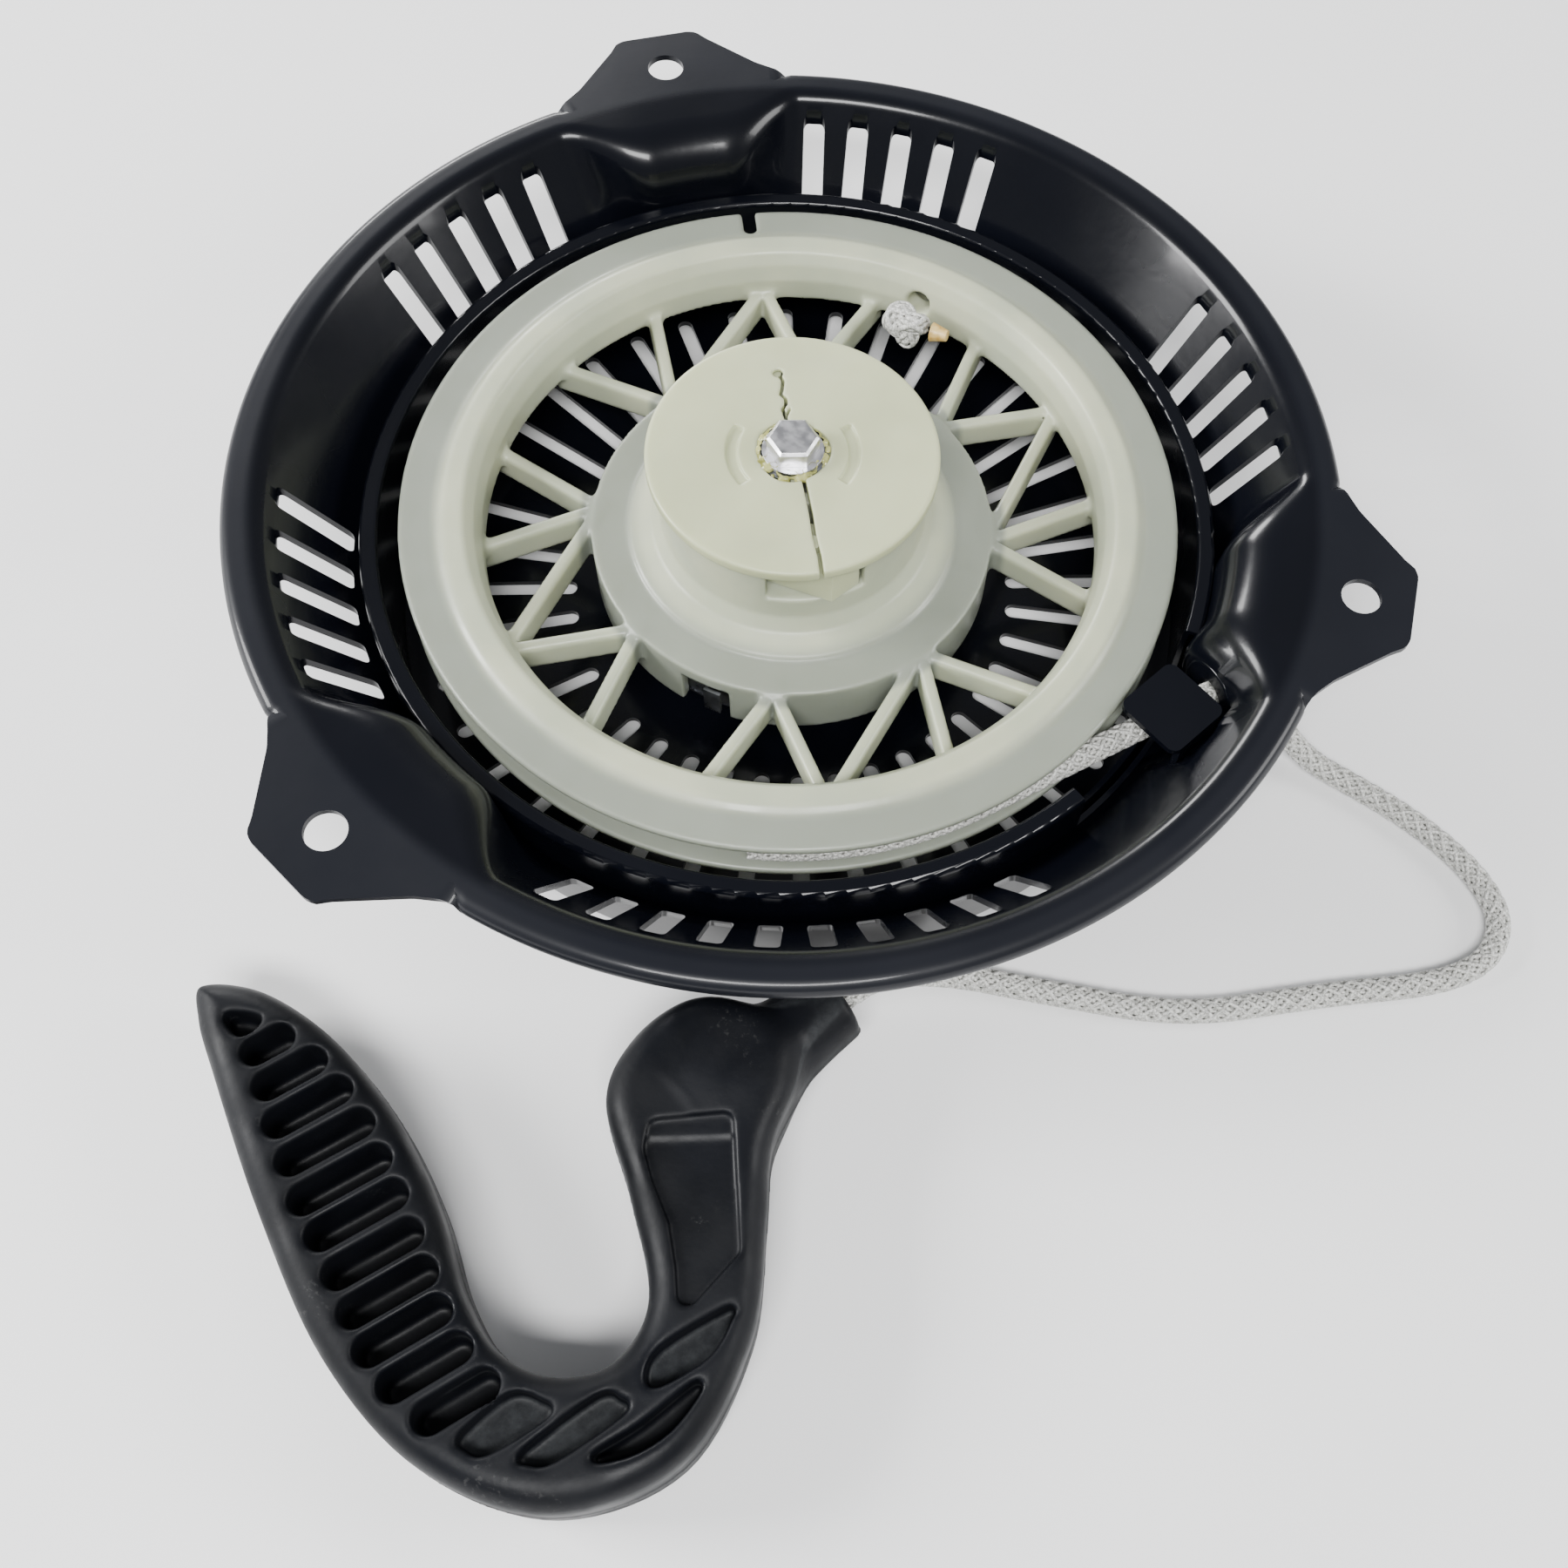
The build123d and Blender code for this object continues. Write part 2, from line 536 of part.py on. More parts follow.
# ---------------------------------------------------------------- rope
EYELET_FACE = SHEET + 1.2
LEAD_WRAP = 34.0              # degrees of the outer layer that the lead still wraps
with BuildPart() as rope_lead:
    with BuildLine() as lead_line:
        wrap_start = Vector(*polar(LEAD_RADIUS, leave_angle - LEAD_WRAP), GROOVE_Z)
        wrap_middle = Vector(*polar(LEAD_RADIUS, leave_angle - LEAD_WRAP / 2), GROOVE_Z)
        ThreePointArc(wrap_start, wrap_middle, leave_point)
        Line(leave_point, exit_point + rope_dir * EYELET_FACE)
    with BuildSketch(Plane(origin=wrap_start, z_dir=(*polar(1, leave_angle - LEAD_WRAP + 90), 0))):
        Circle(ROPE_R)
    sweep(path=lead_line.line)
save(rope_lead, "rope_lead")

ROPE_REST_Z = GROUND + ROPE_R
route_start = exit_point + rope_dir * EYELET_FACE
ROUTE = [
    (route_start.X, route_start.Y, route_start.Z),
    (81.2, -34.8, -14.2), (85.8, -34.8, -21.2), (89.0, -37.4, -29.9), (95.6, -41.4, -36.2),
    (103.6, -46.2, ROPE_REST_Z), (111.4, -52.0, ROPE_REST_Z), (118.5, -58.8, ROPE_REST_Z),
    (123.6, -65.8, ROPE_REST_Z), (126.2, -73.4, ROPE_REST_Z), (123.2, -80.6, ROPE_REST_Z),
    (116.0, -84.6, ROPE_REST_Z), (106.5, -86.2, ROPE_REST_Z), (95.0, -86.9, ROPE_REST_Z),
    (83.0, -88.2, ROPE_REST_Z), (71.0, -89.7, ROPE_REST_Z), (59.0, -89.0, ROPE_REST_Z),
    (47.0, -86.3, ROPE_REST_Z), (36.5, -83.9, ROPE_REST_Z), (27.5, -82.0, -36.6),
    (19.5, -82.4, -33.4), (12.4, -83.7, GRIP_Z), (STEM_END[0] + 0.2, STEM_END[1] + 0.15, GRIP_Z),
]
route_points = [Vector(*p) for p in ROUTE]
route_radii = []
for before, corner, after in zip(route_points, route_points[1:], route_points[2:]):
    turn = (corner - before).get_angle(after - corner)
    shorter = min((corner - before).length, (after - corner).length)
    route_radii.append(0.45 * shorter / math.tan(math.radians(turn / 2)))
print("rope radii", [round(r, 1) for r in route_radii])
with BuildPart() as starter_rope:
    with BuildLine() as route_line:
        FilletPolyline(*route_points, radius=route_radii)
    with BuildSketch(Plane(origin=route_points[0], z_dir=route_points[1] - route_points[0])):
        Circle(ROPE_R)
    sweep(path=route_line.line)
rope_length = route_line.wires()[0].length
print("rope length", round(rope_length, 1), "volume ratio",
      round(starter_rope.part.volume / (math.pi * ROPE_R**2 * rope_length), 4))
save(starter_rope, "starter_rope")

# ---------------------------------------------------------------- handle
GRIP_OUTLINE = [
    (-97.2, -84.9), (-97.2, -90.5), (-94.0, -99.1), (-84.3, -121.8), (-72.5, -143.8), (-57.3, -159.6),
    (-38.4, -166.4), (-19.7, -160.5), (-9.6, -143.5), (-7.1, -126.0), (-6.0, -114.5), (-1.9, -104.0),
    (-3.0, -96.0), (-10.5, -90.2), (-19.4, -89.7), (-28.0, -96.0), (-32.2, -106.0), (-28.2, -121.0),
    (-25.0, -137.0), (-30.0, -145.8), (-38.5, -147.6), (-46.6, -144.0), (-52.6, -135.0), (-57.6, -121.0),
    (-65.2, -106.8), (-75.8, -94.2), (-87.4, -86.2),
]
# finger pockets: centre x, y, overall length, width, angle, depth
POCKETS = [
    (-84.9, -96.1, 8.6, 4.6, 30, 8.0), (-81.0, -100.9, 12.0, 4.8, 30, 8.0), (-77.7, -106.3, 14.4, 4.8, 30, 8.0),
    (-74.5, -112.0, 15.8, 4.8, 29, 8.0), (-71.7, -117.9, 16.4, 4.8, 29, 8.0), (-68.7, -123.4, 16.2, 4.8, 29, 8.0),
    (-65.8, -129.3, 15.8, 4.8, 29, 8.0), (-63.2, -135.0, 15.6, 4.8, 29, 8.0), (-60.6, -140.6, 15.2, 4.8, 29, 8.0),
    (-57.0, -145.9, 14.6, 4.8, 29, 8.0), (-52.2, -150.8, 13.4, 4.8, 29, 8.0),
    (-45.4, -154.4, 13.6, 5.2, 24, 4.0), (-36.2, -155.4, 17.0, 5.4, 27, 4.0),
    (-25.7, -154.4, 17.6, 3.2, 32, 6.0), (-19.0, -143.6, 15.6, 4.6, 37, 4.0),
]
PANEL = [(-24.4, -110.8), (-13.2, -109.2), (-10.9, -115.7), (-10.9, -131.6), (-14.6, -136.4),
         (-20.6, -139.6), (-21.4, -133.0), (-25.8, -115.0)]
stem_dir = Vector(*polar(1, STEM_ANGLE), 0)
stem_plane = Plane(origin=(*STEM_END, GRIP_Z), x_dir=stem_dir, z_dir=(-stem_dir.Y, stem_dir.X, 0))
TAIL_LENGTH = 22.0
KNOT_CHAMBER = 5.6

with BuildPart() as handle_grip:
    with BuildSketch(Plane.XY.offset(GROUND)):
        with BuildLine():
            Spline(*GRIP_OUTLINE, periodic=True)
        make_face()
    extrude(amount=GRIP_THICKNESS)
    fillet(handle_grip.edges().group_by(Axis.Z)[0] + handle_grip.edges().group_by(Axis.Z)[-1], 1.5)
    with BuildSketch(stem_plane):
        with BuildLine():
            Spline((0, 6.4), (8, 7.2), (16, 8.6), (23, 9.8), (30, 9.4))
            Polyline((30, 9.4), (30, 0), (0, 0), (0, 6.4))
        make_face()
    revolve(axis=Axis((*STEM_END, GRIP_Z), stem_dir))
    for face_z, up in ((GROUND + GRIP_THICKNESS, 1), (GROUND, -1)):
        for x, y, length, width, angle, depth in POCKETS:
            with BuildSketch(Plane.XY.offset(face_z)):
                with Locations(Location((x, y, 0), angle)):
                    SlotOverall(length, width)
            extrude(amount=-depth * up, mode=Mode.SUBTRACT)
        with BuildSketch(Plane.XY.offset(face_z)):
            with BuildLine():
                Polyline(*PANEL, close=True)
            panel = make_face()
            fillet(panel.vertices(), 1.6)
        extrude(amount=-1.3 * up, mode=Mode.SUBTRACT)
    # passage for the rope, and the chamber of its knot
    with BuildSketch(Plane(origin=(*STEM_END, GRIP_Z), z_dir=stem_dir)):
        Circle(ROPE_R + 0.3)
    extrude(amount=TAIL_LENGTH, mode=Mode.SUBTRACT)
    with Locations(Vector(*STEM_END, GRIP_Z) + stem_dir * (TAIL_LENGTH + 4)):
        Sphere(KNOT_CHAMBER, mode=Mode.SUBTRACT)
save(handle_grip, "handle_grip")

with BuildPart() as handle_tail:
    with BuildSketch(Plane(origin=(*STEM_END, GRIP_Z), z_dir=stem_dir)):
        Circle(ROPE_R)
    extrude(amount=TAIL_LENGTH - 0.2)
save(handle_tail, "handle_tail")

with BuildPart() as knot_washer:
    with BuildSketch(Plane(origin=Vector(*STEM_END, GRIP_Z) + stem_dir * (TAIL_LENGTH - 1.0), z_dir=stem_dir)):
        Circle(3.6)
        Circle(ROPE_R + 0.1, mode=Mode.SUBTRACT)
    extrude(amount=0.8)
    add(handle_grip.part, mode=Mode.SUBTRACT)
save(knot_washer, "knot_washer")

with BuildPart() as handle_knot:
    with Locations(Vector(*STEM_END, GRIP_Z) + stem_dir * (TAIL_LENGTH + 4.2)):
        Sphere(4.2)
save(handle_knot, "handle_knot")
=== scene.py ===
import math

import bpy
import numpy as np
from mathutils import Matrix, Vector


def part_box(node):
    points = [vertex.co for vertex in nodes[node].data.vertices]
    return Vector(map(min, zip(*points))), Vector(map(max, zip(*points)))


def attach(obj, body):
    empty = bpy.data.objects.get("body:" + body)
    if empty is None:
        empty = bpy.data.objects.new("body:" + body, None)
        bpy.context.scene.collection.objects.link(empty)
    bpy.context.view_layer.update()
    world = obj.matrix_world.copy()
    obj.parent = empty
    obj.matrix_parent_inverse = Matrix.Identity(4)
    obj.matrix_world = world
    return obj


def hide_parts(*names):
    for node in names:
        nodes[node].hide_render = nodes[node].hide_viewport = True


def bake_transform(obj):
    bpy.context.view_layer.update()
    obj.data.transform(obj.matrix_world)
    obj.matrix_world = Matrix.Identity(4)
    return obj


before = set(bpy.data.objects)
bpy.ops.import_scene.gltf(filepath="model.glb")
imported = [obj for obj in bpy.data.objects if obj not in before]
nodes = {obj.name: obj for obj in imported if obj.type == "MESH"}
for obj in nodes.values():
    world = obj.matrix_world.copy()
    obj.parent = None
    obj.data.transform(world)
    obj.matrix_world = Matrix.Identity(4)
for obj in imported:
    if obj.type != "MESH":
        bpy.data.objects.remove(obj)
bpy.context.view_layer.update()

MM = 0.001


def node_box(name):
    """Lowest and highest corner of a CAD node, in millimetres."""
    low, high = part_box(name)
    return np.array(low) / MM, np.array(high) / MM


def polar(radius, angle):
    return np.array((radius * math.cos(math.radians(angle)), radius * math.sin(math.radians(angle))))


def smoothstep(edge0, edge1, value):
    t = np.clip((value - edge0) / (edge1 - edge0), 0, 1)
    return t * t * (3 - 2 * t)


def make_object(name, verts_mm, faces, smooth=True):
    """A mesh object from millimetre points."""
    mesh = bpy.data.meshes.new(name)
    mesh.from_pydata((np.asarray(verts_mm, float) * MM).tolist(), [], [list(map(int, f)) for f in faces])
    mesh.update()
    if smooth:
        mesh.shade_smooth()
    obj = bpy.data.objects.new(name, mesh)
    bpy.context.scene.collection.objects.link(obj)
    return obj


def bake_modifiers(obj):
    """Replaces the object's mesh by its evaluated mesh."""
    graph = bpy.context.evaluated_depsgraph_get()
    mesh = bpy.data.meshes.new_from_object(obj.evaluated_get(graph))
    obj.modifiers.clear()
    obj.data = mesh


# ---------------------------------------------------------------- places read from the frame
GROUND = node_box("starter_rope")[0][2]
SHEET = 1.2
GRIP_LOW, GRIP_HIGH = node_box("handle_grip")
GRIP_HALF = 10.0
GRIP_Z = GROUND + GRIP_HALF
PLATE_HIGH = node_box("guide_plate")[1]

# ---------------------------------------------------------------- camera and lights
FOCAL_PIXELS = 1981.97
PHOTO_PIXELS = 1800.0
CAMERA_AT = (-4.528, -186.702, 246.022)
CAMERA_PITCH, CAMERA_YAW, CAMERA_ROLL = 1.0938, 0.1561, 0.1182
FRAME_SHIFT = (-0.0722, -0.0056)

forward = np.array((math.sin(CAMERA_YAW) * math.cos(CAMERA_PITCH),
                    math.cos(CAMERA_YAW) * math.cos(CAMERA_PITCH), -math.sin(CAMERA_PITCH)))
level = np.array((math.cos(CAMERA_YAW), -math.sin(CAMERA_YAW), 0.0))
above = np.cross(level, forward)
right = level * math.cos(CAMERA_ROLL) + above * math.sin(CAMERA_ROLL)
upward = above * math.cos(CAMERA_ROLL) - level * math.sin(CAMERA_ROLL)
camera_data = bpy.data.cameras.new("camera")
camera_data.sensor_width = 36.0
camera_data.lens = FOCAL_PIXELS * camera_data.sensor_width / PHOTO_PIXELS
camera_data.shift_x, camera_data.shift_y = FRAME_SHIFT
camera_data.clip_start = 0.01
camera_data.clip_end = 20
camera = bpy.data.objects.new("camera", camera_data)
camera.matrix_world = Matrix((
    (right[0], upward[0], -forward[0], CAMERA_AT[0] * MM),
    (right[1], upward[1], -forward[1], CAMERA_AT[1] * MM),
    (right[2], upward[2], -forward[2], CAMERA_AT[2] * MM),
    (0, 0, 0, 1)))
bpy.context.scene.collection.objects.link(camera)
bpy.context.scene.camera = camera


def softbox(name, place, size, power):
    """A rectangular light that points at the origin."""
    data = bpy.data.lights.new(name, "AREA")
    data.shape = "RECTANGLE"
    data.size, data.size_y = size
    data.energy = power
    lamp = bpy.data.objects.new(name, data)
    lamp.location = place
    lamp.rotation_mode = "QUATERNION"
    lamp.rotation_quaternion = (-Vector(place)).to_track_quat("-Z", "Y")
    bpy.context.scene.collection.objects.link(lamp)


softbox("key_light", (-0.10, -0.80, 1.15), (0.75, 0.30), 27.0)
softbox("left_light", (-1.25, 0.10, 0.60), (0.55, 0.55), 32.0)
softbox("right_light", (1.25, -0.10, 0.65), (0.55, 0.55), 12.0)
softbox("back_light", (-0.45, 1.25, 0.45), (0.5, 0.3), 14.0)

world = bpy.data.worlds.new("studio")
bpy.context.scene.world = world
world.use_nodes = True
sky = world.node_tree.nodes["Background"].inputs
sky["Color"].default_value = (0.86, 0.88, 0.92, 1)
sky["Strength"].default_value = 0.34


# ---------------------------------------------------------------- material helpers
class Shader:
    """A small helper round one node tree."""

    def __init__(self, name, **settings):
        self.material = bpy.data.materials.new(name)
        self.material.use_nodes = True
        self.tree = self.material.node_tree
        self.principled = self.tree.nodes["Principled BSDF"]
        self.place = self.add("ShaderNodeTexCoord").outputs["Object"]
        for socket, value in settings.items():
            self.set(socket.replace("_", " "), value)

    def set(self, socket, value):
        self.principled.inputs[socket].default_value = value

    def add(self, kind, **inputs):
        node = self.tree.nodes.new(kind)
        for socket, value in inputs.items():
            self.feed(node.inputs[socket.replace("_", " ")], value)
        return node

    def feed(self, socket, value):
        if isinstance(value, bpy.types.NodeSocket):
            self.tree.links.new(value, socket)
        else:
            socket.default_value = value

    def noise(self, scale, detail, roughness=0.5):
        return self.add("ShaderNodeTexNoise", Vector=self.place, Scale=scale, Detail=detail,
                        Roughness=roughness).outputs["Fac"]

    def cells(self, scale):
        return self.add("ShaderNodeTexVoronoi", Vector=self.place, Scale=scale).outputs["Distance"]

    def ramp(self, value, low, high, to_low=0.0, to_high=1.0):
        node = self.add("ShaderNodeMapRange")
        node.interpolation_type = "SMOOTHSTEP"
        for socket, number in (("From Min", low), ("From Max", high),
                               ("To Min", to_low), ("To Max", to_high)):
            node.inputs[socket].default_value = number
        self.feed(node.inputs["Value"], value)
        return node.outputs["Result"]

    def math(self, operation, a, b=0.0):
        node = self.add("ShaderNodeMath")
        node.operation = operation
        self.feed(node.inputs[0], a)
        self.feed(node.inputs[1], b)
        return node.outputs[0]

    def mix(self, share, a, b):
        node = self.add("ShaderNodeMix")
        node.data_type = "RGBA"
        self.feed(node.inputs["Factor"], share)
        self.feed(node.inputs["A"], a)
        self.feed(node.inputs["B"], b)
        return node.outputs["Result"]

    def axes(self):
        return self.add("ShaderNodeSeparateXYZ", Vector=self.place).outputs

    def radius(self):
        """Distance from the axis of the starter, in metres."""
        x, y, _ = self.axes()
        squares = self.math("ADD", self.math("MULTIPLY", x, x), self.math("MULTIPLY", y, y))
        return self.math("SQRT", squares)

    def use(self, socket, value):
        self.feed(self.principled.inputs[socket], value)

    def bump(self, height, distance, strength=1.0, edge=0.0):
        node = self.add("ShaderNodeBump", Strength=strength, Distance=distance, Height=height)
        if edge:
            rounded = self.add("ShaderNodeBevel", Radius=edge)
            rounded.samples = 6
            self.feed(node.inputs["Normal"], rounded.outputs["Normal"])
        self.use("Normal", node.outputs["Normal"])


def enamel():
    s = Shader("enamel", Roughness=0.3, IOR=1.5, Coat_Weight=0.22, Coat_Roughness=0.1)
    s.set("Specular IOR Level", 0.22)
    # the flat ears and rim are more satin than the bowl
    flange = s.math("MULTIPLY", s.ramp(s.radius(), 0.0915, 0.0945),
                    s.ramp(s.axes()[2], -0.0075, -0.0045))
    cloud = s.noise(38, 4)
    base = s.mix(cloud, (0.0012, 0.0015, 0.0030, 1), (0.0024, 0.0030, 0.0055, 1))
    satin = s.mix(cloud, (0.0040, 0.0046, 0.0072, 1), (0.0065, 0.0074, 0.0110, 1))
    dust = s.ramp(s.cells(900), 0.035, 0.02)
    sparse = s.math("MULTIPLY", dust, s.ramp(s.noise(55, 2), 0.62, 0.68, 0, 0.35))
    colour = s.mix(flange, base, satin)
    # small chips on the turned-down edge only
    rim = s.math("MULTIPLY", s.ramp(s.radius(), 0.0955, 0.0965),
                 s.ramp(s.radius(), 0.0985, 0.0975))
    turned = s.math("MULTIPLY", rim, s.ramp(s.axes()[2], -0.0006, -0.0012))
    chips = s.math("MULTIPLY", s.ramp(s.noise(420, 2), 0.74, 0.78), turned)
    colour = s.mix(chips, s.mix(sparse, colour, (0.22, 0.22, 0.22, 1)), (0.55, 0.56, 0.58, 1))
    s.use("Base Color", colour)
    s.use("Roughness", s.math("ADD", s.ramp(s.noise(24, 5), 0.3, 0.7, 0.2, 0.32),
                              s.math("MULTIPLY", flange, 0.16)))
    s.bump(s.math("ADD", s.noise(650, 3), s.math("MULTIPLY", s.noise(160, 2), 1.6)), 0.00003, 0.5)
    return s.material


def nylon(name, light, dark, painted_shade_band=None):
    """Natural nylon; painted_shade_band is painted shade: a darker grey painted on the thin outer flange,
    where the dark behind shows through, and on the hub's recessed shelf.
    """
    s = Shader(name, Roughness=0.4, IOR=1.53, Subsurface_Weight=0.4, Subsurface_Scale=0.005,
               Coat_Weight=0.12, Coat_Roughness=0.25)
    s.set("Subsurface Radius", (1.0, 0.95, 0.7))
    cloud = s.noise(45, 4)
    colour = s.mix(s.ramp(cloud, 0.3, 0.7), dark, light)
    # painted shade: the thin outer flange and the hub's recessed shelf are darkened towards the shade band
    # colour
    if painted_shade_band:
        thin_flange_shade = s.math("MULTIPLY", s.ramp(s.radius(), 0.0615, 0.0650),
                     s.ramp(s.axes()[2], -0.0200, -0.0190))
        shelf = s.math("MULTIPLY", s.ramp(s.radius(), 0.0270, 0.0310),
                       s.ramp(s.radius(), 0.0400, 0.0385))
        colour = s.mix(s.math("MAXIMUM", thin_flange_shade, shelf), colour, painted_shade_band)
    specks = s.math("MULTIPLY", s.ramp(s.cells(700), 0.03, 0.015),
                    s.ramp(s.noise(40, 2), 0.6, 0.66, 0, 0.5))
    s.use("Base Color", s.mix(specks, colour, (0.16, 0.14, 0.09, 1)))
    s.use("Roughness", s.ramp(s.noise(120, 4), 0.3, 0.7, 0.32, 0.5))
    s.bump(s.math("ADD", s.noise(500, 3), s.math("MULTIPLY", s.noise(70, 2), 2.0)), 0.00004, 0.5)
    return s.material


def metal(name, base, roughness, edge=0.0):
    s = Shader(name, Metallic=1.0, Roughness=roughness)
    s.use("Base Color", s.mix(s.noise(160, 4), tuple(0.72 * c for c in base[:3]) + (1,), base))
    s.use("Roughness", s.ramp(s.noise(420, 4), 0.3, 0.7, roughness * 0.75, roughness * 1.4))
    s.bump(s.noise(1400, 4), 0.00002, 0.6, edge)
    return s.material


def rubber():
    s = Shader("grip_rubber", Roughness=0.5, IOR=1.5)
    s.set("Specular IOR Level", 0.2)
    cloud = s.noise(60, 4)
    colour = s.mix(s.ramp(cloud, 0.3, 0.7),
                   (0.0016, 0.0020, 0.0032, 1), (0.0034, 0.0040, 0.0060, 1))
    scuff = s.math("MULTIPLY", s.ramp(s.noise(900, 5, 0.7), 0.56, 0.66),
                   s.ramp(s.noise(70, 2), 0.6, 0.72, 0, 0.35))
    # rubbed floors of the shallow pockets round the bend
    x, _, z = s.axes()
    low_floor = s.math("MULTIPLY", s.ramp(z, GRIP_Z * MM + 0.0070, GRIP_Z * MM + 0.0066),
                       s.math("MULTIPLY", s.ramp(z, GRIP_Z * MM + 0.0056, GRIP_Z * MM + 0.0060),
                              s.ramp(x, -0.056, -0.052)))
    rubbed = s.math("MULTIPLY", low_floor, s.ramp(s.noise(380, 5, 0.7), 0.3, 0.7, 0.25, 1.0))
    colour = s.mix(rubbed, colour, (0.020, 0.022, 0.024, 1))
    s.use("Base Color", s.mix(scuff, colour, (0.05, 0.05, 0.05, 1)))
    s.use("Roughness", s.ramp(s.noise(90, 5), 0.3, 0.7, 0.4, 0.6))
    s.bump(s.math("ADD", s.noise(1100, 4), s.math("MULTIPLY", s.noise(150, 3), 2.2)), 0.00006, 0.5)
    return s.material


def fibre():
    s = Shader("rope_fibre", Roughness=0.38)
    s.set("Specular IOR Level", 0.7)
    grain = s.noise(2600, 3)
    s.use("Base Color", s.mix(s.ramp(grain, 0.3, 0.7),
                              (0.27, 0.27, 0.25, 1), (0.70, 0.70, 0.665, 1)))
    s.bump(grain, 0.00012, 0.7)
    return s.material


def burnt():
    s = Shader("burnt_end", Roughness=0.35, Subsurface_Weight=0.3, Subsurface_Scale=0.001)
    s.set("Subsurface Radius", (1.0, 0.8, 0.4))
    s.use("Base Color", s.mix(s.ramp(s.noise(420, 3), 0.35, 0.65),
                              (0.45, 0.27, 0.06, 1), (0.70, 0.52, 0.22, 1)))
    s.bump(s.noise(900, 3), 0.0002, 0.7)
    return s.material


def grease_coat():
    s = Shader("grease", Roughness=0.16, IOR=1.47, Subsurface_Weight=0.2, Subsurface_Scale=0.001)
    s.set("Subsurface Radius", (1.0, 0.9, 0.4))
    s.use("Base Color", s.mix(s.ramp(s.noise(600, 3), 0.35, 0.65),
                              (0.20, 0.20, 0.05, 1), (0.42, 0.42, 0.17, 1)))
    s.bump(s.noise(800, 3), 0.0003, 0.8)
    return s.material


ENAMEL = enamel()
# the reel's band colour is painted shade on its thin outer flange and hub shelf
NYLON = nylon("reel_nylon", (0.47, 0.49, 0.355, 1), (0.39, 0.42, 0.315, 1),
              painted_shade_band=(0.235, 0.255, 0.21, 1))
PLATE_NYLON = nylon("plate_nylon", (0.51, 0.54, 0.34, 1), (0.45, 0.48, 0.30, 1))
ZINC = metal("zinc", (0.80, 0.80, 0.82, 1), 0.36, 0.0002)
SPRING = metal("spring_steel", (0.30, 0.31, 0.34, 1), 0.32)
RUBBER = rubber()
ROPE = fibre()
BURNT = burnt()
GREASE = grease_coat()


def dress(obj, material):
    obj.data.materials.clear()
    obj.data.materials.append(material)
    for polygon in obj.data.polygons:
        polygon.material_index = 0


def place_piece(obj, material, body, replaced=()):
    dress(obj, material)
    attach(obj, body)
    if replaced:
        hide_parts(*replaced)


for node_material, node_names in (
        (ENAMEL, ("housing_cover", "guard_ring", "rope_guard", "rope_eyelet")),
        (ZINC, ("centre_post", "bolt_spacer", "bolt_washer", "centre_bolt", "knot_washer")),
        (NYLON, ("pulley",)),
        (PLATE_NYLON, ("guide_plate", "pawl_a", "pawl_b")),
        (SPRING, ("mainspring", "spring_hook", "spring_cover", "friction_spring")),
        (RUBBER, ("handle_grip",)),
        (BURNT, ("knot_tip",)),
        (ROPE, ("handle_tail", "handle_knot", "rope_lead", "rope_winding", "reel_knot",
                "starter_rope"))):
    for node_name in node_names:
        for slot in nodes[node_name].material_slots:
            slot.material = node_material

# ---------------------------------------------------------------- the floor it stands on
FLOOR_HALF = 3000.0
floor_corners = [(x * FLOOR_HALF, y * FLOOR_HALF, GROUND) for x, y in ((-1, -1), (1, -1), (1, 1), (-1, 1))]
floor = make_object("studio_floor", floor_corners, [(0, 1, 2, 3)], False)
paper = Shader("paper", Roughness=0.85)
paper.use("Base Color", paper.mix(paper.noise(3, 2), (0.88, 0.88, 0.88, 1), (0.91, 0.91, 0.91, 1)))
dress(floor, paper.material)

# ---------------------------------------------------------------- braided rope
ROPE_DIAMETER = 4.5
STRANDS = 20
STRAND_SIDES, CORE_SIDES = 6, 12


def curve_points(control_mm, resolution=14):
    """The points of a NURBS line through the space given by its control points, in millimetres."""
    data = bpy.data.curves.new("route", "CURVE")
    data.dimensions = "3D"
    data.resolution_u = resolution
    spline = data.splines.new("NURBS")
    spline.points.add(len(control_mm) - 1)
    for point, where in zip(spline.points, control_mm):
        point.co = (where[0] * MM, where[1] * MM, where[2] * MM, 1)
    spline.order_u = 3
    spline.use_endpoint_u = True
    line = bpy.data.objects.new("route", data)
    bpy.context.scene.collection.objects.link(line)
    graph = bpy.context.evaluated_depsgraph_get()
    mesh = bpy.data.meshes.new_from_object(line.evaluated_get(graph))
    points = np.array([v.co[:] for v in mesh.vertices]) / MM
    bpy.data.objects.remove(line)
    bpy.data.meshes.remove(mesh)
    return points


def along(points, step):
    """Points every step along a line of points, and its length."""
    lengths = np.concatenate([[0], np.cumsum(np.linalg.norm(np.diff(points, axis=0), axis=1))])
    count = max(2, int(round(lengths[-1] / step)) + 1)
    at = np.linspace(0, lengths[-1], count)
    return np.stack([np.interp(at, lengths, points[:, k]) for k in range(3)], 1), at, lengths[-1]


def frames_along(points):
    """Tangents and two turning-free normals."""
    tangent = np.gradient(points, axis=0)
    tangent /= np.linalg.norm(tangent, axis=1)[:, None]
    start = np.cross(tangent[0], (0, 0, 1.0))
    if np.linalg.norm(start) < 0.1:
        start = np.cross(tangent[0], (0, 1.0, 0))
    normals = [start / np.linalg.norm(start)]
    for t in tangent[1:]:
        n = normals[-1] - t * (normals[-1] @ t)
        normals.append(n / np.linalg.norm(n))
    normals = np.array(normals)
    return tangent, normals, np.cross(tangent, normals)


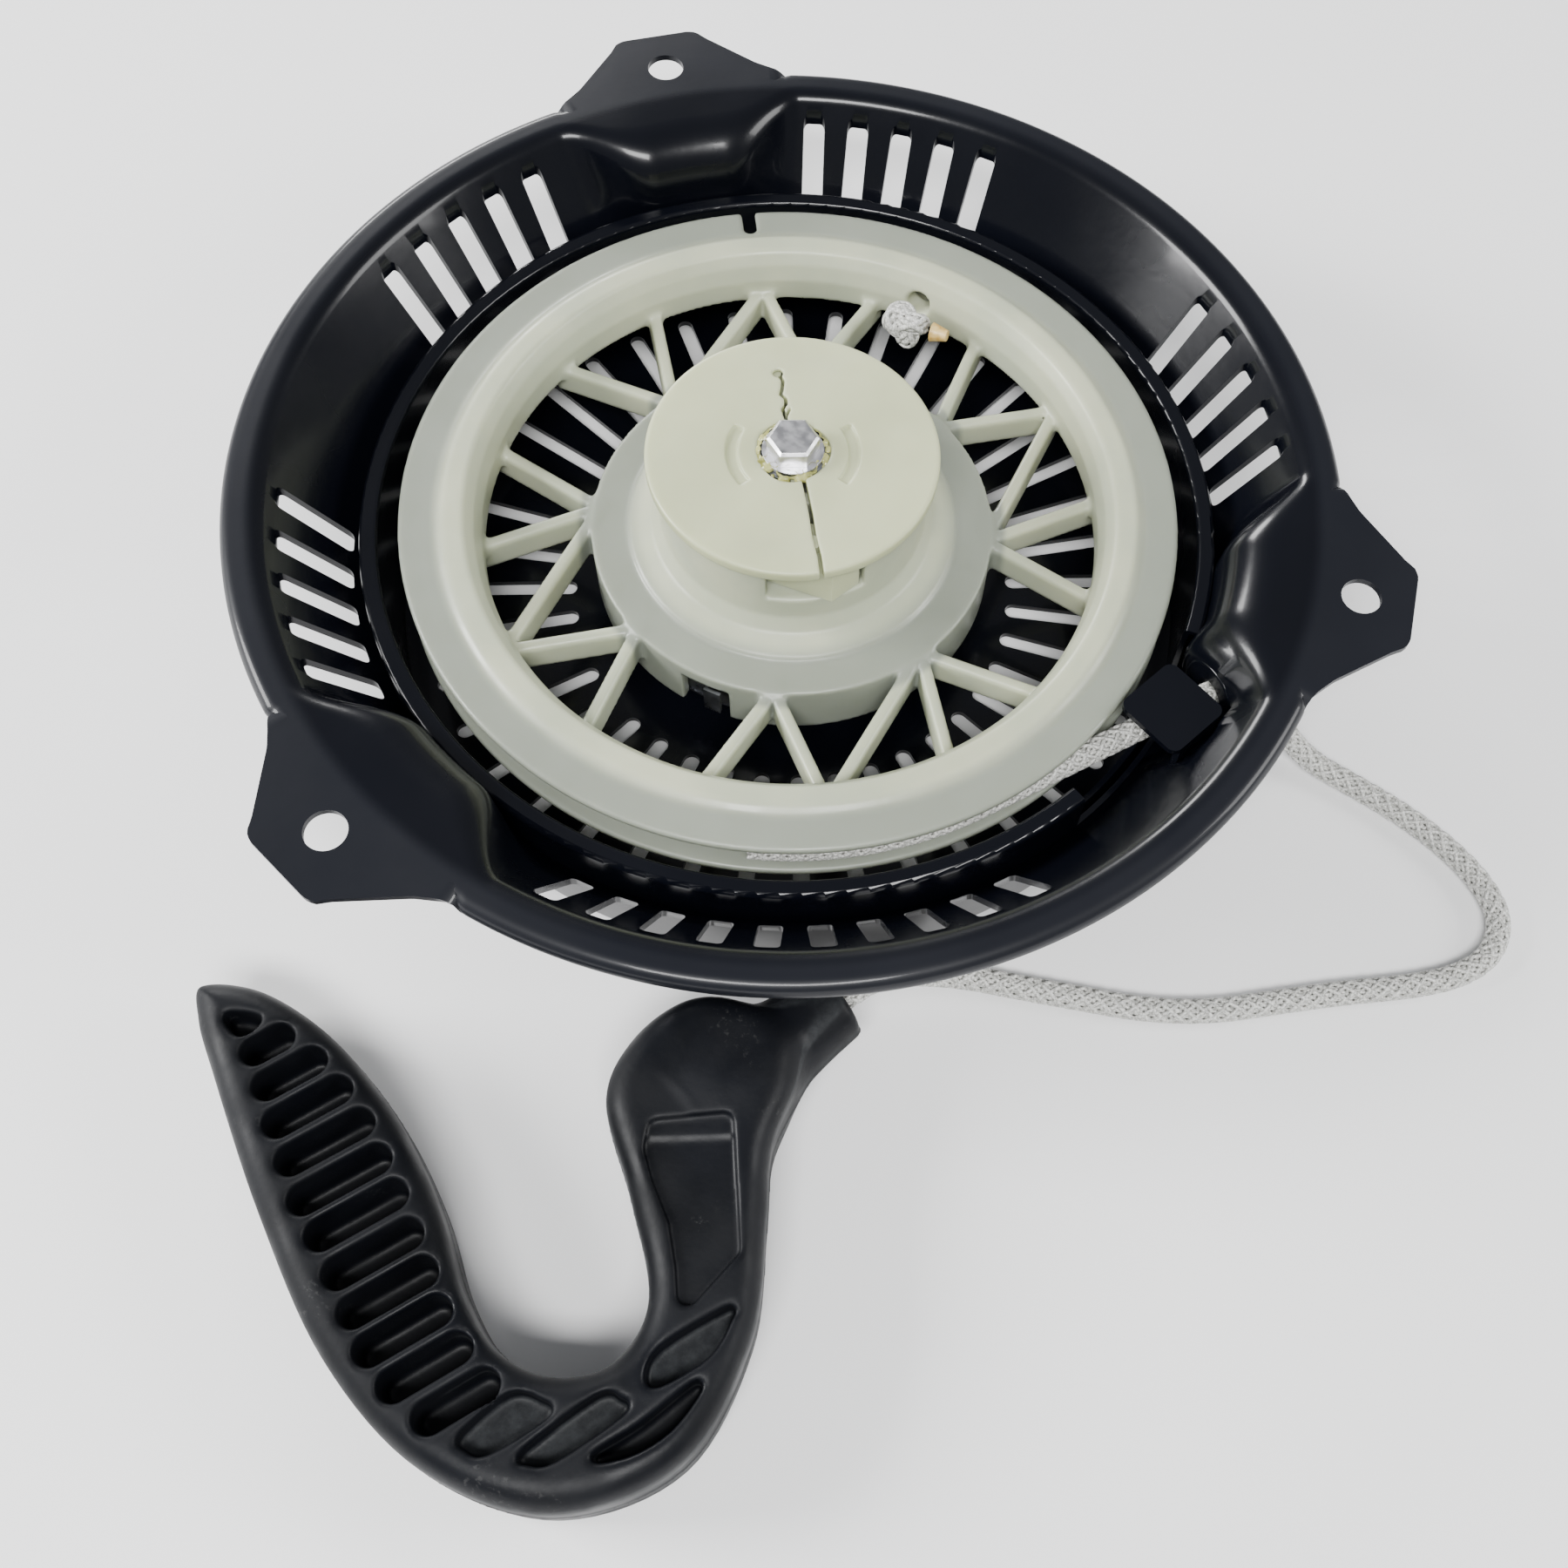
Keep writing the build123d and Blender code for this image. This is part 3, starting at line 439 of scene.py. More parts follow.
def ring_faces(first, sides):
    """Quads between one ring of a tube and the next."""
    return [(first + k, first + (k + 1) % sides, first + (k + 1) % sides + sides, first + k + sides)
            for k in range(sides)]


def end_faces(base, rings, sides):
    """The two faces that close a tube."""
    last = base + (rings - 1) * sides
    return [tuple(base + k for k in range(sides - 1, -1, -1)), tuple(last + k for k in range(sides))]


def braid(name, points, diameter=ROPE_DIAMETER, strands=STRANDS, lay=15.0, step=0.55):
    """Strands plaited two over, two under round a core, along the points.

    Half of the strands turn each way, once in every lay millimetres."""
    line, at, _ = along(points, step)
    tangent, normal, side = frames_along(line)
    half = strands // 2
    thick, lift = 0.38 * diameter / ROPE_DIAMETER, 0.34 * diameter / ROPE_DIAMETER
    mean_radius = diameter / 2 - thick - lift * 0.72
    width = math.pi * mean_radius / half * 0.74
    section = [(math.cos(a), math.sin(a)) for a in np.linspace(0, 2 * math.pi, STRAND_SIDES + 1)[:-1]]
    verts, faces = [], []
    for strand in range(strands):
        hand = 1 if strand < half else -1
        index = strand % half
        angle = 2 * math.pi * (index + (0 if hand > 0 else 0.5)) / half + hand * 2 * math.pi * at / lay
        cross = angle / (2 * math.pi / half)
        other = cross - hand * 2 * half * at / lay
        phase = math.pi / 2 * (cross + other) + math.pi / 4
        radius = mean_radius + hand * lift * np.cos(phase)
        out = normal * np.cos(angle)[:, None] + side * np.sin(angle)[:, None]
        round_dir = side * np.cos(angle)[:, None] - normal * np.sin(angle)[:, None]
        run = tangent + round_dir * (hand * 2 * math.pi * mean_radius / lay)
        run /= np.linalg.norm(run, axis=1)[:, None]
        across = np.cross(run, out)
        base = len(verts)
        for i in range(len(line)):
            centre = line[i] + out[i] * radius[i]
            for c, s in section:
                verts.append(centre + across[i] * (c * width) + out[i] * (s * thick))
        for i in range(len(line) - 1):
            faces += ring_faces(base + i * STRAND_SIDES, STRAND_SIDES)
        faces += end_faces(base, len(line), STRAND_SIDES)
    base = len(verts)
    core = mean_radius - 0.42 * diameter / ROPE_DIAMETER
    for i in range(len(line)):
        for a in np.linspace(0, 2 * math.pi, CORE_SIDES + 1)[:-1]:
            verts.append(line[i] + (normal[i] * math.cos(a) + side[i] * math.sin(a)) * core)
    for i in range(len(line) - 1):
        faces += ring_faces(base + i * CORE_SIDES, CORE_SIDES)
    faces += end_faces(base, len(line), CORE_SIDES)
    return make_object(name, verts, faces)


# the rope leaves the reel along a tangent and passes through the eyelet
LEAD_RADIUS = 67.25
EXIT_RADIUS, EXIT_ANGLE = 82.7, -28.0
GROOVE_Z = -13.7
LEAVE_ANGLE = EXIT_ANGLE - math.degrees(math.acos(LEAD_RADIUS / EXIT_RADIUS))
ROPE_WAY = np.append(polar(1, LEAVE_ANGLE + 90), 0.0)
EXIT_POINT = np.append(polar(EXIT_RADIUS, EXIT_ANGLE), GROOVE_Z)
EYELET_FACE = 2.4
REST_Z = GROUND + ROPE_DIAMETER / 2
# control points of the free rope, the same as in part.py
ROUTE = [
    tuple(EXIT_POINT + ROPE_WAY * EYELET_FACE),
    (81.2, -34.8, -14.2), (85.8, -34.8, -21.2), (89.0, -37.4, -29.9), (95.6, -41.4, -36.2),
    (103.6, -46.2, REST_Z), (111.4, -52.0, REST_Z), (118.5, -58.8, REST_Z),
    (123.6, -65.8, REST_Z), (126.2, -73.4, REST_Z), (123.2, -80.6, REST_Z),
    (116.0, -84.6, REST_Z), (106.5, -86.2, REST_Z), (95.0, -86.9, REST_Z),
    (83.0, -88.2, REST_Z), (71.0, -89.7, REST_Z), (59.0, -89.0, REST_Z),
    (47.0, -86.3, REST_Z), (36.5, -83.9, REST_Z), (27.5, -82.0, -36.6),
    (19.5, -82.4, -33.4), (12.4, -83.7, -29.5), (5.8, -88.45, -29.5),
]
route_line = curve_points(ROUTE)
rope = braid("rope_free", route_line)
dress(rope, ROPE)
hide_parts("starter_rope")
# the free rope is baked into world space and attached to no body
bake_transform(rope)

lead_points = [np.append(polar(LEAD_RADIUS, LEAVE_ANGLE - a), GROOVE_Z)
               for a in np.linspace(34, 0, 18)]
lead_end = EXIT_POINT + ROPE_WAY * (EYELET_FACE + 0.6)
lead_points += [lead_points[-1] + (lead_end - lead_points[-1]) * share
                for share in np.linspace(0.04, 1, 24)]
place_piece(braid("rope_on_reel_end", np.array(lead_points)),
            ROPE, "housing", ("rope_lead",))
WIND_RADIUS = 62.75
WOUND_DIAMETER, WOUND_STRANDS = 4.2, 12
wind_points = np.array([np.append(polar(WIND_RADIUS, a), GROOVE_Z) for a in np.linspace(0, 360, 241)])
place_piece(braid("rope_turns", wind_points, WOUND_DIAMETER, WOUND_STRANDS, 18.0, 1.2),
            ROPE, "reel", ("rope_winding",))

# ---------------------------------------------------------------- pressed cover as one drawn sheet
EAR_ANGLES = (103.25, -16.75, -136.75)
RIM_RADIUS = 97.0
CONE_TOP = 92.2
DRUM_RADIUS = 77.3
VALLEY_Z = -23.3
BOWL_FLOOR = -38.3
LOBE_INNER = 79.5
EAR_OUTLINE = [(94.6, 22.8), (98.6, 17.8), (107.6, 9.6), (109.6, 8.2), (110.2, 6.6), (110.2, 0.0)]
LOBE_SPAN = (5.0, 15.6)
EAR_SPAN = (12.2, 14.6)
EDGE_DROP, EDGE_IN = 2.7, 0.9
AROUND = 900


def ear_reach(offset):
    """Radius of the ear's edge at an angle from its middle, or the rim's radius."""
    a = math.radians(abs(offset))
    d = (math.cos(a), math.sin(a))
    for (x0, y0), (x1, y1) in zip(EAR_OUTLINE, EAR_OUTLINE[1:]):
        ex, ey = x1 - x0, y1 - y0
        det = d[0] * -ey + ex * d[1]
        if abs(det) < 1e-9:
            continue
        reach = (x0 * -ey + ex * y0) / det
        share = (d[0] * y0 - d[1] * x0) / det
        if -1e-6 <= share <= 1 + 1e-6 and reach > 0:
            return max(reach, RIM_RADIUS)
    return RIM_RADIUS


def corner(before, at, after, radius, count):
    """Points of a rounded corner, as arrays over the angle round the axis."""
    d1, d2 = at - before, after - at
    l1, l2 = np.linalg.norm(d1, axis=1), np.linalg.norm(d2, axis=1)
    d1, d2 = d1 / l1[:, None], d2 / l2[:, None]
    bend = np.arccos(np.clip((d1 * d2).sum(1), -1, 1))
    tangent = np.minimum(radius * np.tan(bend / 2), 0.48 * np.minimum(l1, l2))[:, None]
    a, b = at - d1 * tangent, at + d2 * tangent
    points = []
    for t in np.linspace(0, 1, count):
        weight = 2 * t * (1 - t) * np.cos(bend / 2)[:, None]
        total = (1 - t) ** 2 + weight + t**2
        points.append((a * (1 - t) ** 2 + at * weight + b * t**2) / total)
    return points


def cover_sheet():
    """The inner face of the pressing: rows of points round the axis, from the middle outward."""
    angles = np.arange(AROUND) * 360 / AROUND
    off = np.min([np.abs((angles - e + 180) % 360 - 180) for e in EAR_ANGLES], axis=0)
    lobe = 1 - smoothstep(*LOBE_SPAN, off)
    ear = 1 - smoothstep(*EAR_SPAN, off)
    reach = np.array([ear_reach(o) for o in off])
    one = np.ones(AROUND)
    top = CONE_TOP - (CONE_TOP - LOBE_INNER) * lobe
    p = [np.stack(q, 1) for q in (
        (5.0 * one, BOWL_FLOOR * one), (DRUM_RADIUS * one, BOWL_FLOOR * one),
        (DRUM_RADIUS * one, VALLEY_Z * one), (top, 0 * one), (reach - 3.4 * ear, 0 * one),
        (reach - EDGE_IN * (1 - ear), -EDGE_DROP * (1 - ear) - 0.02))]
    rows = [p[0] + (p[1] - p[0]) * share for share in (0, 0.2, 0.4, 0.6, 0.8, 0.93)]
    rows += corner(p[0], p[1], p[2], 3.0 * one, 7)
    rows += corner(p[1], p[2], p[3], 5.0 + 2 * lobe, 6)
    top_round = corner(p[2], p[3], p[4], 2.6 + 5.6 * lobe, 12)
    rows += [rows[-1] + (top_round[0] - rows[-1]) * share
             for share in (0.14, 0.28, 0.42, 0.56, 0.70, 0.85)]
    rows += top_round
    edge_round = corner(p[3], p[4], p[5], 1.8 * one, 6)
    rows += [rows[-1] + (edge_round[0] - rows[-1]) * share for share in (0.25, 0.5, 0.75)]
    rows += edge_round + [p[5]]
    c, s = np.cos(np.radians(angles)), np.sin(np.radians(angles))
    grid = np.stack([np.stack([r[:, 0] * c, r[:, 0] * s, r[:, 1]], 1) for r in rows])
    # pocket that turns the sheet square to the rope where it leaves
    relative = grid - EXIT_POINT
    depth = relative @ ROPE_WAY
    away = np.linalg.norm(relative - depth[..., None] * ROPE_WAY, axis=2)
    near = (1 - smoothstep(7.4, 11.0, away)) * (np.abs(depth) < 16) * (grid[..., 2] > VALLEY_Z - 4)
    grid = grid - (depth * near)[..., None] * ROPE_WAY
    faces = []
    for i in range(len(rows) - 1):
        faces += ring_faces(i * AROUND, AROUND)
    return grid.reshape(-1, 3), faces


def prism(outline, low, high, matrix=None):
    """Points and faces of an upright prism over an outline."""
    n = len(outline)
    verts = [(x, y, z) for z in (low, high) for x, y in outline]
    if matrix is not None:
        verts = [tuple(matrix @ Vector(v)) for v in verts]
    faces = [tuple(range(n - 1, -1, -1)), tuple(range(n, 2 * n))]
    faces += [(i, (i + 1) % n, (i + 1) % n + n, i + n) for i in range(n)]
    return verts, faces


def rounded_bar(length, width, radius, count=5):
    """Outline of a bar along X with round corners."""
    outline = []
    for sx, sy, first in ((1, 1, 0), (-1, 1, 90), (-1, -1, 180), (1, -1, 270)):
        for a in np.linspace(first, first + 90, count):
            outline.append((sx * (length / 2 - radius) + radius * math.cos(math.radians(a)),
                            sy * (width / 2 - radius) + radius * math.sin(math.radians(a))))
    return outline


def turned_outline(outline, radius, angle):
    c, s = math.cos(math.radians(angle)), math.sin(math.radians(angle))
    return [((radius + x) * c - y * s, (radius + x) * s + y * c) for x, y in outline]


def join_parts(parts):
    verts, faces = [], []
    for v, f in parts:
        base = len(verts)
        verts += [tuple(p) for p in v]
        faces += [tuple(i + base for i in face) for face in f]
    return verts, faces


def cut(obj, parts):
    """Takes closed shapes away from a closed mesh."""
    verts, faces = join_parts(parts)
    tool = make_object("tool", verts, faces, False)
    boolean = obj.modifiers.new("cut", "BOOLEAN")
    boolean.operation = "DIFFERENCE"
    boolean.solver = "EXACT"
    boolean.object = tool
    bake_modifiers(obj)
    bpy.data.objects.remove(tool)


SIDE_SLOTS = ((74.4, 5), (15.4, 5), (135.3, 5), (-166.5, 5), (-91.1, 10))
SIDE_SLOT_PITCH, SIDE_SLOT_RADIUS = 5.75, 84.35
FLOOR_SLOTS, FLOOR_SLOT_RADIUS = 40, 55.8
HOLE_RADIUS, HOLE_CIRCLE, EXIT_HOLE_RADIUS = 3.5, 101.0, 5.2


def circle(radius, sides):
    return [(radius * math.cos(a), radius * math.sin(a)) for a in np.linspace(0, 2 * math.pi, sides + 1)[:-1]]


slot_tools = []
for middle, number in SIDE_SLOTS:
    for i in range(number):
        slot_angle = middle + (i - (number - 1) / 2) * SIDE_SLOT_PITCH
        outline = turned_outline(rounded_bar(9.9, 4.2, 0.9), SIDE_SLOT_RADIUS, slot_angle)
        slot_tools.append(prism(outline, -26, 2))
for i in range(FLOOR_SLOTS):
    outline = turned_outline(rounded_bar(28.4, 3.0, 1.49, 7), FLOOR_SLOT_RADIUS, i * 360.0 / FLOOR_SLOTS)
    slot_tools.append(prism(outline, -42, -36))
for ear_angle in EAR_ANGLES:
    slot_tools.append(prism(turned_outline(circle(HOLE_RADIUS, 48), HOLE_CIRCLE, ear_angle), -5, 3))
exit_turn = Vector(ROPE_WAY).to_track_quat("Z", "X").to_matrix().to_4x4()
exit_turn = Matrix.Translation(Vector(EXIT_POINT)) @ exit_turn
slot_tools.append(prism(circle(EXIT_HOLE_RADIUS, 40), -4, 5, exit_turn))

cover = make_object("cover_sheet", *cover_sheet())
wall = cover.modifiers.new("wall", "SOLIDIFY")
wall.thickness = SHEET * MM
wall.offset = -1
wall.use_even_offset = True
bake_modifiers(cover)
cut(cover, slot_tools)
cover.data.shade_smooth()
cover.data.set_sharp_from_angle(angle=math.radians(34))
place_piece(cover, ENAMEL, "housing", ("housing_cover",))


# ---------------------------------------------------------------- solid forms from a distance field
def polygon_distance(outline, x, y):
    """Signed distance to a closed outline, negative inside."""
    best = np.full(x.shape, 1e9)
    inside = np.zeros(x.shape, bool)
    for (x0, y0), (x1, y1) in zip(outline, np.roll(outline, -1, axis=0)):
        ex, ey = x1 - x0, y1 - y0
        wx, wy = x - x0, y - y0
        t = np.clip((wx * ex + wy * ey) / (ex * ex + ey * ey + 1e-12), 0, 1)
        best = np.minimum(best, (wx - ex * t) ** 2 + (wy - ey * t) ** 2)
        if y0 != y1:
            crosses = ((y0 <= y) & (y1 > y)) | ((y1 <= y) & (y0 > y))
            inside ^= crosses & (x < x0 + (y - y0) / (y1 - y0) * ex)
    return np.where(inside, -1, 1) * np.sqrt(best)


def smooth_min(a, b, blend):
    h = np.clip(0.5 + 0.5 * (b - a) / blend, 0, 1)
    return b + (a - b) * h - blend * h * (1 - h)


def smooth_max(a, b, blend):
    return -smooth_min(-a, -b, blend)


def field_mesh(name, field, low, step, passes=2):
    """Smooth quads on the zero surface of a field sampled on a grid."""
    shape = np.array(field.shape)
    inside = field < 0
    n = shape - 1

    def block(a, i, j, k):
        return a[i:n[0] + i, j:n[1] + j, k:n[2] + k]

    corners = [(i, j, k) for i in (0, 1) for j in (0, 1) for k in (0, 1)]
    total = sum(block(inside, *c).astype(np.int8) for c in corners)
    cell = np.argwhere((total > 0) & (total < 8))
    number = -np.ones(n, np.int64)
    number[tuple(cell.T)] = np.arange(len(cell))
    value = {c: field[tuple((cell + c).T)] for c in corners}
    position, hits = np.zeros((len(cell), 3)), np.zeros(len(cell))
    for a in corners:
        for axis in range(3):
            if a[axis]:
                continue
            b = tuple(a[k] + (1 if k == axis else 0) for k in range(3))
            fa, fb = value[a], value[b]
            crossing = (fa < 0) != (fb < 0)
            t = np.where(crossing, fa / np.where(crossing, fa - fb, 1), 0)
            point = np.tile(np.array(a, float), (len(cell), 1))
            point[:, axis] += t
            position += point * crossing[:, None]
            hits += crossing
    verts = cell + position / hits[:, None]
    faces = []
    for axis in range(3):
        u, v = (axis + 1) % 3, (axis + 2) % 3
        first = [slice(0, s) for s in shape]
        second = list(first)
        first[axis], second[axis] = slice(0, shape[axis] - 1), slice(1, shape[axis])
        a, b = inside[tuple(first)], inside[tuple(second)]
        edge = np.argwhere(a != b)
        keep = (edge[:, u] > 0) & (edge[:, v] > 0) & (edge[:, u] < n[u]) & (edge[:, v] < n[v])
        edge = edge[keep]
        step_u, step_v = np.zeros(3, int), np.zeros(3, int)
        step_u[u], step_v[v] = 1, 1
        around = (step_u + step_v, step_v, 0 * step_u, step_u)
        quad = np.stack([number[tuple((edge - d).T)] for d in around], 1)
        flip = ~a[tuple(edge.T)]
        quad[flip] = quad[flip][:, ::-1]
        faces.append(quad)
    faces = np.concatenate(faces)

    def sample(points):
        base = np.clip(np.floor(points).astype(int), 0, shape - 2)
        f = points - base
        result = 0
        for c in corners:
            w = np.prod([f[:, k] if c[k] else 1 - f[:, k] for k in range(3)], axis=0)
            result = result + w * field[tuple((base + c).T)]
        return result

    ends = np.concatenate([faces[:, [0, 1]], faces[:, [1, 2]], faces[:, [2, 3]], faces[:, [3, 0]]])
    for _ in range(passes):
        mean = np.zeros_like(verts)
        for k in range(3):
            mean[:, k] = np.bincount(ends[:, 0], verts[ends[:, 1], k], len(verts))
        degree = np.bincount(ends[:, 0], minlength=len(verts))
        smoothed = verts * 0.5 + 0.5 * mean / np.maximum(degree, 1)[:, None]
        verts = np.where(degree[:, None] > 0, smoothed, verts)
        for _ in range(2):
            here = sample(verts)
            slope = np.stack([sample(verts + 0.35 * d) - sample(verts - 0.35 * d)
                              for d in np.eye(3)], 1) / 0.7
            size = np.maximum((slope**2).sum(1), 1e-4)
            move = -(here / size)[:, None] * slope
            verts = verts + np.clip(move, -0.5, 0.5)
    return make_object(name, verts * step + low, faces)


# ---------------------------------------------------------------- handle
STEM_END = np.array((5.6, -88.6))
STEM_ANGLE = 216.0
STEM_PROFILE = [(0, 6.4), (8, 7.2), (16, 8.6), (23, 9.8), (30, 9.4)]
GRIP_OUTLINE = [
    (-97.2, -84.9), (-97.2, -90.5), (-94.0, -99.1), (-84.3, -121.8), (-72.5, -143.8), (-57.3, -159.6),
    (-38.4, -166.4), (-19.7, -160.5), (-9.6, -143.5), (-7.1, -126.0), (-6.0, -114.5), (-1.9, -104.0),
    (-3.0, -96.0), (-10.5, -90.2), (-19.4, -89.7), (-28.0, -96.0), (-32.2, -106.0), (-28.2, -121.0),
    (-25.0, -137.0), (-30.0, -145.8), (-38.5, -147.6), (-46.6, -144.0), (-52.6, -135.0), (-57.6, -121.0),
    (-65.2, -106.8), (-75.8, -94.2), (-87.4, -86.2),
]
# centre x and y, length, width, angle, depth
POCKETS = [
    (-84.9, -96.1, 8.6, 4.6, 30, 8.0), (-81.0, -100.9, 12.0, 4.8, 30, 8.0),
    (-77.7, -106.3, 14.4, 4.8, 30, 8.0), (-74.5, -112.0, 15.8, 4.8, 29, 8.0),
    (-71.7, -117.9, 16.4, 4.8, 29, 8.0), (-68.7, -123.4, 16.2, 4.8, 29, 8.0),
    (-65.8, -129.3, 15.8, 4.8, 29, 8.0), (-63.2, -135.0, 15.6, 4.8, 29, 8.0),
    (-60.6, -140.6, 15.2, 4.8, 29, 8.0), (-57.0, -145.9, 14.6, 4.8, 29, 8.0),
    (-52.2, -150.8, 13.4, 4.8, 29, 8.0),
]
# depth, outline
BEND_POCKETS = [
    (3.6, [(-44.5, -150.6), (-40.3, -151.6), (-39.4, -153.2),
          (-47.4, -157.7), (-50.4, -157.0), (-50.8, -155.5)]),
    (3.6, [(-31.9, -151.4), (-29.0, -151.9), (-28.6, -153.3),
          (-37.9, -159.1), (-41.4, -159.3), (-41.8, -158.2)]),
    (5.5, [(-18.1, -150.3), (-17.9, -151.4), (-21.8, -155.9),
          (-27.0, -158.7), (-32.0, -159.3), (-25.4, -155.6)]),
    (3.6, [(-13.3, -139.9), (-13.0, -140.9), (-16.0, -145.6),
          (-22.8, -149.4), (-24.5, -148.6), (-22.6, -145.0)]),
]
PANEL = [(-23.7, -111.9), (-13.5, -111.2), (-12.6, -130.6), (-18.9, -137.2), (-19.2, -132.9), (-20.3, -126.0),
         (-23.0, -119.2), (-24.2, -114.8)]
PANEL_ROUND = 1.6
TIP_POCKET = [(-91.6, -91.2), (-86.9, -91.9), (-89.4, -94.0)]


def closed_curve(points, steps):
    """A smooth closed line through the points."""
    p = np.asarray(points, float)
    out = []
    for i in range(len(p)):
        a, b, c, d = p[i - 1], p[i], p[(i + 1) % len(p)], p[(i + 2) % len(p)]
        for t in np.arange(steps) / steps:
            out.append(0.5 * (2 * b + (c - a) * t + (2 * a - 5 * b + 4 * c - d) * t**2
                              + (3 * b - 3 * c + d - a) * t**3))
    return np.array(out)


def handle_mesh(step=0.5):
    low = np.array((GRIP_LOW[0] - 1.5, GRIP_LOW[1] - 1.5, -GRIP_HALF - 1.5))
    high = np.array((GRIP_HIGH[0] + 1.5, GRIP_HIGH[1] + 1.5, GRIP_HALF + 1.5))
    count = np.ceil((high - low) / step).astype(int) + 1
    x = (low[0] + step * np.arange(count[0]))[:, None]
    y = (low[1] + step * np.arange(count[1]))[None, :]
    x, y = np.broadcast_arrays(x, y)
    z = (low[2] + step * np.arange(count[2]))[None, None, :]
    height = np.abs(z)
    plan = polygon_distance(closed_curve(GRIP_OUTLINE, 8), x, y)[:, :, None]
    side_round = 4.6
    qx, qz = plan + side_round, height - (GRIP_HALF - side_round)
    outside = np.sqrt(np.maximum(qx, 0) ** 2 + np.maximum(qz, 0) ** 2)
    body = outside + np.minimum(np.maximum(qx, qz), 0) - side_round
    way = polar(1, STEM_ANGLE)
    s = (x - STEM_END[0]) * way[0] + (y - STEM_END[1]) * way[1]
    t = -(x - STEM_END[0]) * way[1] + (y - STEM_END[1]) * way[0]
    profile = np.array(STEM_PROFILE)
    fit = np.polyfit(profile[:, 0], profile[:, 1], 4)
    radius = np.polyval(fit, np.clip(s, 0, 30))
    from_axis = np.sqrt((t**2)[:, :, None] + z**2)
    stem = smooth_max(from_axis - radius[:, :, None], -s[:, :, None], 1.6)
    stem = np.maximum(stem, s[:, :, None] - 30)
    body = smooth_min(body, stem, 3.0)
    # the underside lies flat on the ground
    body = smooth_max(body, -z - GRIP_HALF, 0.4)
    # parting line round the middle
    body = body - 0.22 * np.exp(-(z / 0.45) ** 2)
    deep = {}
    for px, py, length, width, angle, depth in POCKETS:
        d = polar(1, angle)
        u = (x - px) * d[0] + (y - py) * d[1]
        v = -(x - px) * d[1] + (y - py) * d[0]
        past_end = np.maximum(np.abs(u) - (length - width) / 2, 0)
        bar = np.sqrt(past_end**2 + v**2) - width / 2 - 0.15
        deep[depth] = np.minimum(deep.get(depth, 1e9), bar)
    for depth, outline in BEND_POCKETS + [(5.5, TIP_POCKET)]:
        shape = polygon_distance(closed_curve(outline, 4), x, y) - 0.7
        deep[depth] = np.minimum(deep.get(depth, 1e9), shape)
    for depth, bar in deep.items():
        draft = 0.06 * (GRIP_HALF - height)
        pocket = smooth_max(bar[:, :, None] + draft, GRIP_HALF - depth - height, 1.0)
        body = smooth_max(body, -pocket, 0.9)
    panel = (polygon_distance(np.array(PANEL), x, y) - PANEL_ROUND)[:, :, None]
    # the panel's floor drops once more below its top edge
    panel_depth = 0.9 + 0.45 * smoothstep(-112.6, -114.0, y)[:, :, None]
    body = smooth_max(body, -smooth_max(panel, GRIP_HALF - panel_depth - height, 0.4), 0.5)
    bore = np.maximum(from_axis - 2.55, s[:, :, None] - 23)
    chamber = np.sqrt((t**2 + (s - 26) ** 2)[:, :, None] + z**2) - 5.6
    body = smooth_max(body, -np.minimum(bore, chamber), 0.7)
    return field_mesh("grip_body", body, low + np.array((0, 0, GRIP_Z)), step)


place_piece(handle_mesh(), RUBBER, "handle", ("handle_grip",))


# ---------------------------------------------------------------- reel, with its moulded edges rounded
PIVOT_ANGLES = (-108.0, 72.0)
PIVOT_RADIUS, PEG_REACH, PEG_SLOT = 16.5, 8.5, 1.75
REEL_TOP = -9.0
REEL_BOTTOM = REEL_TOP - 9.6
RIM_SECTION = [
    (56.0, REEL_BOTTOM), (56.0, REEL_TOP - 4.6), (57.0, REEL_TOP - 1.4), (58.6, REEL_TOP + 0.9),
    (62.2, REEL_TOP + 0.9), (63.6, REEL_TOP), (70.0, REEL_TOP), (70.0, REEL_TOP - 1.6),
    (60.4, REEL_TOP - 1.8), (60.4, REEL_BOTTOM + 1.8), (70.0, REEL_BOTTOM + 1.6), (70.0, REEL_BOTTOM)]
HUB_SECTION = [
    (7.05, -21.0), (7.05, 2.2), (24.0, 2.2), (24.0, -10.8), (25.6, -13.6), (30.0, -15.2), (30.0, -15.8),
    (36.8, -15.8), (36.8, -27.6), (34.6, -27.6), (34.6, -18.0), (10.0, -18.0), (10.0, -21.0)]
SPOKE_ROOT, SPOKE_HALF, SPOKE_LOW, SPOKE_HIGH = -6.75, 1.15, -22.5, -16.4
HOOK_ANGLE, NOTCH_ANGLE, KNOT_ANGLE = -116.5, 96.0, 62.7
PIN_RADIUS, POCKET_FLOOR = 1.9, -5.8
POCKET_MIDDLE, POCKET_HALF, POCKET_RADII = 16, 36, (9.6, 22.2)
WINDOW_MIDDLE, WINDOW_HALF, WINDOW_RADII = 26.5, 21.5, (20, 31)


def line_distance(points, x, y):
    best = np.full(x.shape, 1e9)
    for (x0, y0), (x1, y1) in zip(points, points[1:]):
        ex, ey = x1 - x0, y1 - y0
        t = np.clip(((x - x0) * ex + (y - y0) * ey) / (ex * ex + ey * ey), 0, 1)
        best = np.minimum(best, np.hypot(x - x0 - ex * t, y - y0 - ey * t))
    return best


